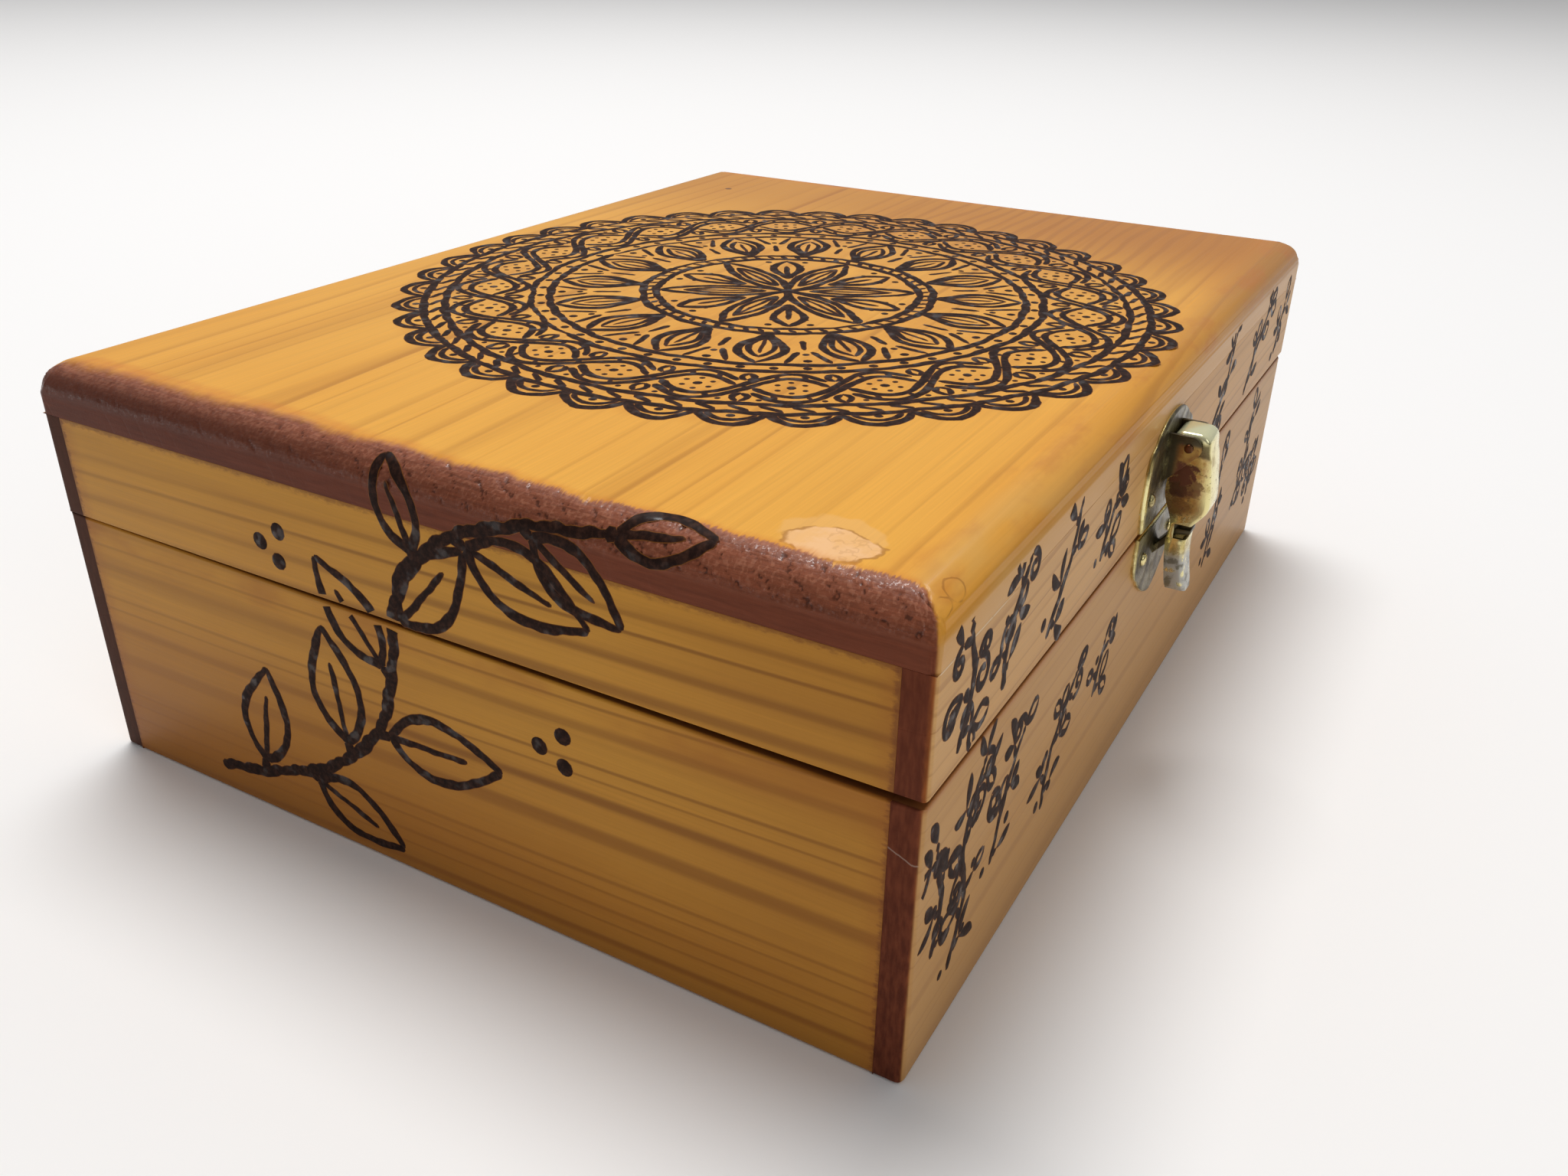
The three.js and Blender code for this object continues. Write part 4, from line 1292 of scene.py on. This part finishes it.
def sprig(points):
    stem = smooth_line(points)
    length = sum(math.dist(a, b) for a, b in zip(stem, stem[1:]))
    count = max(3, round(length / SHOOT_SPACING))
    strokes = [stroke(stem, SPRIG_LINE * 1.15, shake=0.25)]
    for k in range(count):
        here, direction = along(stem, (k + HAND.uniform(0.2, 0.7)) / count)
        side = 1 if k % 2 else -1
        turn = Matrix.Rotation(math.radians(HAND.uniform(35, 80)) * side, 2) @ direction
        strokes += shoot(here, turn, HAND.uniform(1.8, 4.2))
        if HAND.random() < 0.6:
            strokes.append(dot(here - turn * HAND.uniform(3.0, 4.6), HAND.uniform(1.7, 2.6)))
    here, direction = along(stem, 1.0)
    return strokes + shoot(here, direction, 2.0)


sprigs = [one for points in SPRIGS for one in sprig(points)]
burn_halves("front_sprigs", sprigs, on_front, TOP_JOINT + 4)

# %% [markdown]
# The catch is stamped from thin brass-plated sheet. A cheap plating wears and stains: it stays
# bright on raised edges, goes brown where fingers and damp reach, and the steel below rusts in
# specks. One function makes each of these finishes, from how far the staining has gone. Light and
# shade are painted on too: a highlight on the lever's nose, a dark reflection below it, a black
# spot of shadow by the ear, and shade on the plates where the lever and the ears stand over them.

# %% Brass and steel
BRIGHT_BRASS = (0.82, 0.73, 0.36)
OLD_BRASS = (0.38, 0.27, 0.08)
DARK_BRASS = (0.085, 0.062, 0.026)
# The pale brass of the painted highlight on the lever's nose.
NOSE_HIGHLIGHT_BRASS = (0.86, 0.84, 0.52)
SHADED_BRASS = (0.045, 0.031, 0.015)
AMBER, PALE_AMBER = (0.46, 0.200, 0.030), (0.58, 0.36, 0.08)
# A brown stain, and the black of a painted shadow.
STAIN_BROWN, SHADOW_BLACK = (0.17, 0.080, 0.028), (0.020, 0.012, 0.007)
RUST = (0.13, 0.033, 0.008)
BARE_STEEL, DARK_STEEL = (0.46, 0.46, 0.45), (0.16, 0.155, 0.14)

# Each stain, and the spot of painted shadow, has its place along Y and Z, its reach, and the seed of its
# outline.
BROWN_STAIN = (-96.4, 58.0, 3.6, 12.0)
SHADOW_SPOT = (-96.0, 61.6, 2.6, 2.0)
LARGE_RUST, SMALL_RUST = (-96.6, 64.6, 3.2, 5.0), (-98.8, 61.8, 2.4, 8.0)
EAR_RUST = (-95.6, 65.6, 2.4, 5.0)


def metal(name, bright, stained, stain_share, rust_share, seed):
    """What every metal finish starts from: its stained colour, stains, specks and scratches."""
    finish = Finish(name)
    cloud = finish.noise(0.22, detail=4.0, rough=0.6, seed=seed)
    stain = cloud.step(0.62 - stain_share * 0.3, 0.80 - stain_share * 0.3)
    specks = finish.noise(1.3, detail=3.0, rough=0.65, seed=seed + 5).step(0.60, 0.72) * rust_share
    scratch = finish.noise((0.5, 0.5, 7.0), detail=3.0, rough=0.7, seed=seed + 9)
    colour = finish.mix(stain * 0.8, bright, stained)
    return finish, colour, stain, specks, scratch


def finish_metal(finish, colour, stain, rust, scratch, cloudy=0.0):
    """A cloudy share of the surface scatters the light as paint does: where the shine is worn off, on the
    nose under its painted highlight, and in the plates' painted shade.
    """
    colour = finish.mix(rust, colour, RUST)
    return finish.finish_with(
        {}, colour, stain * 0.16 + rust * 0.4 + scratch * 0.10 + 0.10, metal=(1 - rust * 0.9) * (1 - cloudy),
        height=scratch * 0.25 + rust * 1.2 - stain * 0.2, relief=0.03)


def blot(finish, y, z, reach, seed):
    """An uneven patch seen from the side, for stains, rust and the painted shadow: 1 in the middle and 0 past
    its reach.
    """
    across, up = finish.y - y, finish.z - z
    uneven = (finish.noise(0.55, detail=5.0, rough=0.7, seed=seed) - 0.5) * reach * 2.6
    return ((across * across + up * up) ** 0.5 + uneven).step(reach, reach * 0.55)


def lever_metal():
    """A painted highlight on the nose with a dark painted reflection below it, stained and rusty on the
    cheeks with a black spot of painted shadow, and worn to steel at the lip.
    """
    finish, colour, stain, specks, scratch = metal("worn_brass", BRIGHT_BRASS, OLD_BRASS, 0.45, 0.7, 3.0)
    cloud = finish.noise(0.5, detail=3.0, seed=31.0)
    cheek = (finish.x - CATCH_X).size().step(3.2, 3.9)
    amber = cheek * (finish.z - 63.0).size().step(8.5, 5.5) * finish.y.step(-102.6, -99.0)
    brown = cheek * blot(finish, *BROWN_STAIN)
    # A dark band of painted reflection on the cheeks, just below the nose.
    dark_reflection = cheek * (finish.z + cloud - 70.4).size().step(1.9, 1.0)
    # A painted highlight on the nose: pale brass, made cloudy so that it catches the lamp.
    nose_highlight = (finish.z + cloud * 0.8).step(71.7, 72.5)
    rust = blot(finish, *LARGE_RUST).larger(blot(finish, *SMALL_RUST) * 0.7)
    rust = (rust * cheek).larger(specks * (finish.z - 60.0).size().step(10.0, 4.0))
    # A black spot of painted shadow on the cheek, by the ear. The finish also dulls it as rust at half share.
    painted_shadow = blot(finish, *SHADOW_SPOT) * cheek
    wear_and_highlight = finish.z.step(48.5, 45.5) * cloud.step(0.25, 0.45)
    colour = finish.coats(
        colour, (amber * 0.85, finish.mix(cloud.step(0.58, 0.42), AMBER, PALE_AMBER)),
        (brown * 0.75, STAIN_BROWN), (dark_reflection * 0.85, DARK_BRASS), (nose_highlight * 0.95, NOSE_HIGHLIGHT_BRASS),
        (wear_and_highlight * 0.9, finish.mix(cloud.step(0.50, 0.62), BARE_STEEL, DARK_STEEL)), (painted_shadow * 0.9, SHADOW_BLACK))
    dull = (stain + dark_reflection * 0.7 + brown * 0.7 + wear_and_highlight * 1.2).smaller(1.3) * (1 - nose_highlight * 0.8)
    cloudy = (nose_highlight * 0.45).larger(wear_and_highlight * 0.75).larger(amber * 0.5)
    return finish_metal(finish, colour, dull, rust.larger(painted_shadow * 0.5), scratch, cloudy)


def plate_metal():
    """The plates are bright on their rims. They carry painted shade, and are duller, where the lever and the
    ears stand over them and on the raised ears.
    """
    finish, colour, stain, specks, scratch = metal("plate_brass", BRIGHT_BRASS, OLD_BRASS, 0.55, 0.35, 1.0)
    cloud = finish.noise(0.35, detail=3.0, seed=41.0).step(0.35, 0.6)
    raised = finish.y.step(-HALF_DEPTH - 1.0, -HALF_DEPTH - 1.6)
    middle = (finish.x - CATCH_X).size().step(15.6, 13.4)
    middle = middle * finish.y.step(-HALF_DEPTH - 0.25, -HALF_DEPTH - 0.5)
    # Painted shade on the plate's middle and on its raised parts, which are also made duller.
    dull = (middle * (cloud * 0.2 + 0.8)).larger(raised)
    ear_side = finish.y.step(-94.2, -95.8) * finish.z.step(71.4, 70.4) * finish.z.step(60.0, 63.0)
    colour = finish.coats(
        colour, (dull * (scratch * 0.1 + 0.90), SHADED_BRASS),
        (ear_side * 0.85, finish.mix(cloud, (0.50, 0.30, 0.07), (0.30, 0.13, 0.03))))
    rust = (blot(finish, *EAR_RUST) * ear_side).larger(specks)
    return finish_metal(finish, colour, stain + dull * 0.9, rust, scratch, dull * 0.35)


def plain_metal(name, bright, stained, stain_share, rust_share, seed):
    return finish_metal(*metal(name, bright, stained, stain_share, rust_share, seed))


PIN_LOW, PIN_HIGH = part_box("catch_pivot_pin")
PIVOT = (PIN_LOW + PIN_HIGH) / 2 / MM
CATCH_X = PIVOT.x
PLATE_BRASS = plate_metal()
HINGE_BRASS = plain_metal("hinge_brass", BRIGHT_BRASS, OLD_BRASS, 0.35, 0.2, 6.0)
NAIL_BRASS = plain_metal("nail_brass", (0.78, 0.66, 0.32), DARK_BRASS, 0.45, 0.4, 8.0)
PIN_STEEL = plain_metal("pin_steel", BARE_STEEL, (0.30, 0.27, 0.23), 0.5, 0.6, 2.0)
OLD_PIN = plain_metal("stained_pin", (0.15, 0.12, 0.075), RUST, 0.6, 0.8, 4.0)
LEVER_BRASS = lever_metal()
print("metals:", [m.name for m in (PLATE_BRASS, HINGE_BRASS, NAIL_BRASS, PIN_STEEL, LEVER_BRASS)])

# %% [markdown]
# A stamped plate is an outline pushed out of a flat sheet, with its rim pressed round. Here it
# starts as a flat circle with as many corners as the outline needs. The corners are moved to
# the outline, the face is extruded by the sheet's thickness, and the edges of the new face,
# which are still selected, are bevelled.

# %% Sheet maker
FACING_FRONT = ((1, 0, 0), (0, 0, 1), (0, -1, 0))
FROM_THE_LEFT = ((0, -1, 0), (0, 0, 1), (1, 0, 0))


def slab(name, outline, axes, start, depth, rim=0.0):
    """A sheet in the plane of the first two axes, pushed out along the third. Sizes in mm."""
    across, up, out = [Vector(axis) for axis in axes]
    deselect_all()
    bpy.ops.mesh.primitive_circle_add(vertices=len(outline), fill_type="NGON")
    piece = bpy.context.object
    piece.name = name
    for corner, (u, v) in zip(piece.data.vertices, outline):
        corner.co = (across * u + up * v + out * start) * MM
    bpy.ops.object.mode_set(mode="EDIT")
    bpy.ops.mesh.select_all(action="SELECT")
    bpy.ops.mesh.extrude_region_move(TRANSFORM_OT_translate={"value": tuple(out * depth * MM)})
    if rim:
        bpy.ops.mesh.bevel(offset=rim * MM, segments=4, affect="EDGES")
    bpy.ops.mesh.select_all(action="SELECT")
    bpy.ops.mesh.normals_make_consistent(inside=False)
    bpy.ops.object.mode_set(mode="OBJECT")
    return piece


def soften(piece, width, segments=2):
    add_modifier(piece, "BEVEL", width=width * MM, segments=segments, limit_method="ANGLE",
                 angle_limit=math.radians(35))


def join(pieces):
    deselect_all()
    for piece in pieces:
        piece.select_set(True)
    bpy.context.view_layer.objects.active = pieces[0]
    bpy.ops.object.join()
    return pieces[0]


print("sheet maker ready")

# %% [markdown]
# The two plates of the catch. The upper one carries two ears for the lever's pin, and the lower
# one a bent hook for the lever to snap over. Ears and hook are short prisms seen from the side,
# joined to their plate.

# %% Catch plates
PLATE_THICKNESS = 0.9
PLATE_RIM = 0.5
EAR_RADIUS = 2.4
EAR_FOOT = 8.4
EAR_INNER, EAR_THICKNESS = 4.3, 0.8
HOOK_HALF_WIDTH = 2.0
LID_PLATE_TABLE = ((0, 1), (0.44, 1), (0.71, 0.8), (0.96, 0.76), (0.975, 0.49), (1, 0.25), (0.92, 0))
BASE_PLATE_TABLE = ((0, 1), (0.4, 0.94), (0.77, 0.61), (0.94, 0.53), (0.99, 0.38), (1, 0.18), (0.97, 0))
HOOK_SIDE = ((-0.4, 8.6), (0, 8.6), (2.9, 5.2), (4.1, 3.3), (6.9, 2.7), (6.9, 1.8), (3.9, 1.9), (2.1, 4.0),
             (0, 6.7), (-0.4, 6.7))


def pulled(start, pull, end, count):
    """Points on a curve from start to end, drawn towards a third point."""
    return [tuple((1 - t) ** 2 * a + 2 * t * (1 - t) * b + t * t * c for a, b, c in zip(start, pull, end))
            for t in shares(count)[1:]]


def plate_outline(node, table, upwards):
    """From the seam round the arch and back, fitted to the plate's place in the frame.

    The table holds shares of the plate's half width and of its height.
    """
    low, high = [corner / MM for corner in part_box(node)]
    foot, tall = (low.z, high.z) if upwards else (high.z, low.z)
    crown, arch_pull, arch, pull, shoulder, side, corner = [
        ((high.x - low.x) / 2 * across, foot + (tall - foot) * rise) for across, rise in table]
    right = [crown, *pulled(crown, arch_pull, arch, 14), *pulled(arch, pull, shoulder, 8), side, corner]
    left = [(-u, v) for u, v in reversed(right[1:])]
    return [(CATCH_X + u, v) for u, v in right + left]


def ear(side):
    turns = [math.radians(90 - 120 * k / 16) for k in range(17)]
    round_end = [(-PIVOT.y + EAR_RADIUS * math.cos(a), PIVOT.z + EAR_RADIUS * math.sin(a)) for a in turns]
    foot = HALF_DEPTH + PLATE_THICKNESS / 2
    outline = [(foot, PIVOT.z - EAR_FOOT), (foot, PIVOT.z + EAR_RADIUS), *round_end]
    start = CATCH_X + (EAR_INNER if side > 0 else -EAR_INNER - EAR_THICKNESS)
    piece = slab("ear", outline, FROM_THE_LEFT, start, EAR_THICKNESS)
    soften(piece, 0.18)
    return piece


lid_outline = plate_outline("catch_lid_plate", LID_PLATE_TABLE, True)
lid_plate = slab("catch_lid_sheet", lid_outline, FACING_FRONT, HALF_DEPTH, PLATE_THICKNESS, PLATE_RIM)
lid_plate = join([lid_plate, ear(-1), ear(1)])
base_face = -front_low.y / MM
base_outline = plate_outline("catch_base_plate", BASE_PLATE_TABLE, False)
base_plate = slab("catch_base_sheet", base_outline, FACING_FRONT, base_face, PLATE_THICKNESS, PLATE_RIM)
hook_outline = [(base_face + PLATE_THICKNESS + out, SEAM - down) for out, down in HOOK_SIDE]
hook = slab("hook", hook_outline, FROM_THE_LEFT, CATCH_X - HOOK_HALF_WIDTH, 2 * HOOK_HALF_WIDTH)
soften(hook, 0.3, 3)
base_plate = join([base_plate, hook])
for piece, node, body in ((lid_plate, "catch_lid_plate", "lid"), (base_plate, "catch_base_plate", "base")):
    put_on(piece, PLATE_BRASS)
    settle(piece, node, body)
    print(piece.name, "faces:", len(piece.data.polygons))

# %% [markdown]
# The lever is one sheet folded over a nose, with a cheek on each side and an open back. It
# starts as a cube, cut into level rows. Each row is moved to the lever's width, front line and
# back line at its height, which gives the bulge, the waist and the lip. Then the faces of the
# open back and the slot are deleted, and Solidify gives what is left the sheet's thickness.

# %% Lever
LEVER_FRONT = (
    (0, 3.6), (2.5, 4.3), (6.6, 4.9), (10.7, 5.4), (13.0, 5.3), (14.7, 4.3), (17.4, 2.4), (20.2, 2.0),
    (25.3, 2.2), (30.3, 3.1), (31.6, 3.4))
LEVER_BACK = (
    (0, -3.6), (6.0, -3.35), (10.7, -3.35), (16.4, -1.5), (21.2, -1.95), (29.1, -1.1), (31.6, -0.65))
LEVER_HALF_WIDTH = (
    (0, 4.0), (11.1, 4.0), (15.0, 3.8), (19.0, 3.44), (23.7, 3.36), (27.8, 3.25), (30.4, 3.1),
    (31.1, 2.9), (31.6, 2.3))
LEVER_TOP, LEVER_REACH = -2.7, 31.6
LEVER_BLOCK = (8.0, 7.2)
FIRST_ROW, ROW_STEP, ROW_COUNT = 2.2, 1.12, 27
TIP_MARGIN, SLOT_MARGIN = 0.3, 0.4
LEVER_OPENING = 0.8
LEVER_SHEET = 0.7
NOSE_ROUND, FOLD_ROUND = 2.0, 0.85
SLOT_TOP, SLOT_LOW, SLOT_DEPTH = 16.65, 19.95, 0.6


def reading(table, down):
    """The value of a smooth table at a distance below the pivot."""
    line = smooth_line(table)
    down = min(max(down, line[0][0]), line[-1][0])
    for (a, first), (b, second) in zip(line, line[1:]):
        if a <= down <= b:
            return first + (second - first) * (down - a) / max(b - a, 1e-9)
    return line[-1][1]


def cut(place, normal):
    """Cuts what is selected along a plane through the place."""
    bpy.ops.mesh.bisect(plane_co=tuple(Vector(place) * MM), plane_no=normal)


def worth_a_cut(row):
    """Leaves out rows too near the tip or the slot's ends, but not those ends themselves."""
    from_slot = min(abs(row - SLOT_TOP), abs(row - SLOT_LOW))
    return row < LEVER_REACH - TIP_MARGIN and not 0 < from_slot < SLOT_MARGIN


def in_slot(face):
    return PIVOT.z - SLOT_LOW < face.calc_center_median().z / MM < PIVOT.z - SLOT_TOP


even_rows = [FIRST_ROW + ROW_STEP * k for k in range(ROW_COUNT)]
rows = sorted({LEVER_OPENING, SLOT_TOP, SLOT_LOW, *even_rows})
rows = [row for row in rows if worth_a_cut(row)]
deselect_all()
bpy.ops.mesh.primitive_cube_add(
    size=1, location=Vector((CATCH_X, PIVOT.y, PIVOT.z - (LEVER_TOP + LEVER_REACH) / 2)) * MM,
    scale=Vector((*LEVER_BLOCK, LEVER_REACH - LEVER_TOP)) * MM)
lever = bpy.context.object
lever.name = "catch_lever_sheet"
apply_place()
bpy.ops.object.mode_set(mode="EDIT")
for row in rows:
    bpy.ops.mesh.select_all(action="SELECT")
    cut((0, 0, PIVOT.z - row), (0, 0, 1))
bpy.ops.object.mode_set(mode="OBJECT")
for corner in lever.data.vertices:
    down = PIVOT.z - corner.co.z / MM
    out = reading(LEVER_FRONT if corner.co.y / MM < PIVOT.y else LEVER_BACK, down)
    side = math.copysign(reading(LEVER_HALF_WIDTH, down), corner.co.x / MM - CATCH_X)
    corner.co = Vector((CATCH_X + side, PIVOT.y - out, PIVOT.z - down)) * MM
bpy.ops.object.mode_set(mode="EDIT")
top_z = (PIVOT.z - LEVER_TOP) * MM
select_by(lever, "EDGE", lambda edge: all(abs(v.co.z - top_z) < 1e-6 for v in edge.verts)
          and abs(edge.verts[0].co.y - edge.verts[1].co.y) < 1e-6)
bpy.ops.mesh.bevel(offset=NOSE_ROUND * MM, segments=6, affect="EDGES")
select_by(lever, "FACE", lambda face: face.normal.z < -0.9 or (
    face.normal.y > 0.6 and face.calc_center_median().z < (PIVOT.z - LEVER_OPENING) * MM))
bpy.ops.mesh.delete(type="FACE")
select_by(lever, "EDGE", lambda edge: len(edge.link_faces) == 2 and sorted(
    abs(face.normal.x) > 0.85 for face in edge.link_faces) == [False, True])
bpy.ops.mesh.bevel(offset=FOLD_ROUND * MM, segments=4, affect="EDGES")
select_by(lever, "FACE", in_slot)
cut((0, PIVOT.y + SLOT_DEPTH, 0), (0, 1, 0))
select_by(lever, "FACE", lambda face: in_slot(face)
          and face.calc_center_median().y < (PIVOT.y + SLOT_DEPTH) * MM)
bpy.ops.mesh.delete(type="FACE")
bpy.ops.mesh.select_all(action="SELECT")
bpy.ops.mesh.remove_doubles(threshold=0.01 * MM)
bpy.ops.mesh.normals_make_consistent(inside=False)
bpy.ops.object.mode_set(mode="OBJECT")
add_modifier(lever, "SOLIDIFY", thickness=LEVER_SHEET * MM, offset=-1, use_even_offset=True)
soften(lever, 0.16)
put_on(lever, LEVER_BRASS)
settle(lever, "catch_lever", "catch_lever")
print("lever faces:", len(lever.data.polygons), "rows:", len(rows))

# %% [markdown]
# Nails and pins. A small brass nail has a low domed head. It is modelled once, standing upright,
# and a copy is laid in each nail's place in the frame, facing out of the front or the back.

# %% Nails and pins
NAIL_HEAD, NAIL_HEIGHT, NAIL_SHANK, NAIL_LENGTH = 1.4, 0.8, 0.55, 4.0
PIN_CHAMFER = 0.25


def copy_of(piece, name):
    """A copy of a piece with a mesh of its own."""
    made = bpy.data.objects.new(name, piece.data.copy())
    bpy.context.collection.objects.link(made)
    return made


def half_of(node):
    """The half of the box that a hinge leaf or a nail moves with."""
    return "base" if "_base_" in node else "lid"


deselect_all()
bpy.ops.mesh.primitive_uv_sphere_add(segments=28, ring_count=16, radius=NAIL_HEAD * MM)
nail_head = bpy.context.object
for corner in nail_head.data.vertices:
    corner.co.z *= NAIL_HEIGHT / NAIL_HEAD if corner.co.z > 0 else 0.04
bpy.ops.mesh.primitive_cone_add(
    vertices=16, radius1=NAIL_SHANK * 0.6 * MM, radius2=NAIL_SHANK * MM, depth=NAIL_LENGTH * MM,
    location=(0, 0, -NAIL_LENGTH / 2 * MM))
nail_shape = join([nail_head, bpy.context.object])
apply_place()
for node in [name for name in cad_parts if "_nail_" in name]:
    low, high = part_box(node)
    on_the_front = low.y < 0
    seat = low.y + NAIL_HEIGHT * MM if on_the_front else high.y - NAIL_HEIGHT * MM
    place = Matrix.Translation(((low.x + high.x) / 2, seat, (low.z + high.z) / 2))
    lean = Matrix.Rotation(math.radians(90 if on_the_front else -90), 4, "X")
    nail = copy_of(nail_shape, node + "_domed")
    nail.data.transform(place @ lean)
    put_on(nail, NAIL_BRASS)
    settle(nail, node, half_of(node))
bpy.data.objects.remove(nail_shape)

for node, body in (("catch_pivot_pin", "lid"), ("hinge_left_pin", "base"), ("hinge_right_pin", "base")):
    low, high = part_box(node)
    deselect_all()
    bpy.ops.mesh.primitive_cylinder_add(
        vertices=32, radius=(high.z - low.z) / 2, depth=high.x - low.x, location=(low + high) / 2,
        rotation=(0, math.radians(90), 0))
    pin = bpy.context.object
    pin.name = node + "_rod"
    apply_place()
    soften(pin, PIN_CHAMFER, 4)
    put_on(pin, OLD_PIN if node == "catch_pivot_pin" else PIN_STEEL)
    settle(pin, node, body)
print("nails:", sum("_nail_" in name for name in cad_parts), "pins: 3")

# %% [markdown]
# The hinges lie at the back. Each leaf is a sheet with knuckles rolled round the pin. The frame
# already has this shape, so a copy of its mesh is taken: its loose triangles are merged, flat
# areas are made single faces again, and a narrow bevel takes the hard look off the edges.

# %% Hinge leaves
for node in [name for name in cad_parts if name.startswith("hinge_") and name.endswith("_leaf")]:
    leaf_piece = copy_of(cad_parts[node], node + "_rolled")
    pick(leaf_piece)
    bpy.ops.object.mode_set(mode="EDIT")
    bpy.ops.mesh.select_all(action="SELECT")
    bpy.ops.mesh.remove_doubles(threshold=0.002 * MM)
    bpy.ops.mesh.dissolve_limited(angle_limit=math.radians(0.5))
    bpy.ops.object.mode_set(mode="OBJECT")
    soften(leaf_piece, 0.12)
    put_on(leaf_piece, HINGE_BRASS)
    settle(leaf_piece, node, half_of(node))
    print(node, "faces:", len(leaf_piece.data.polygons))
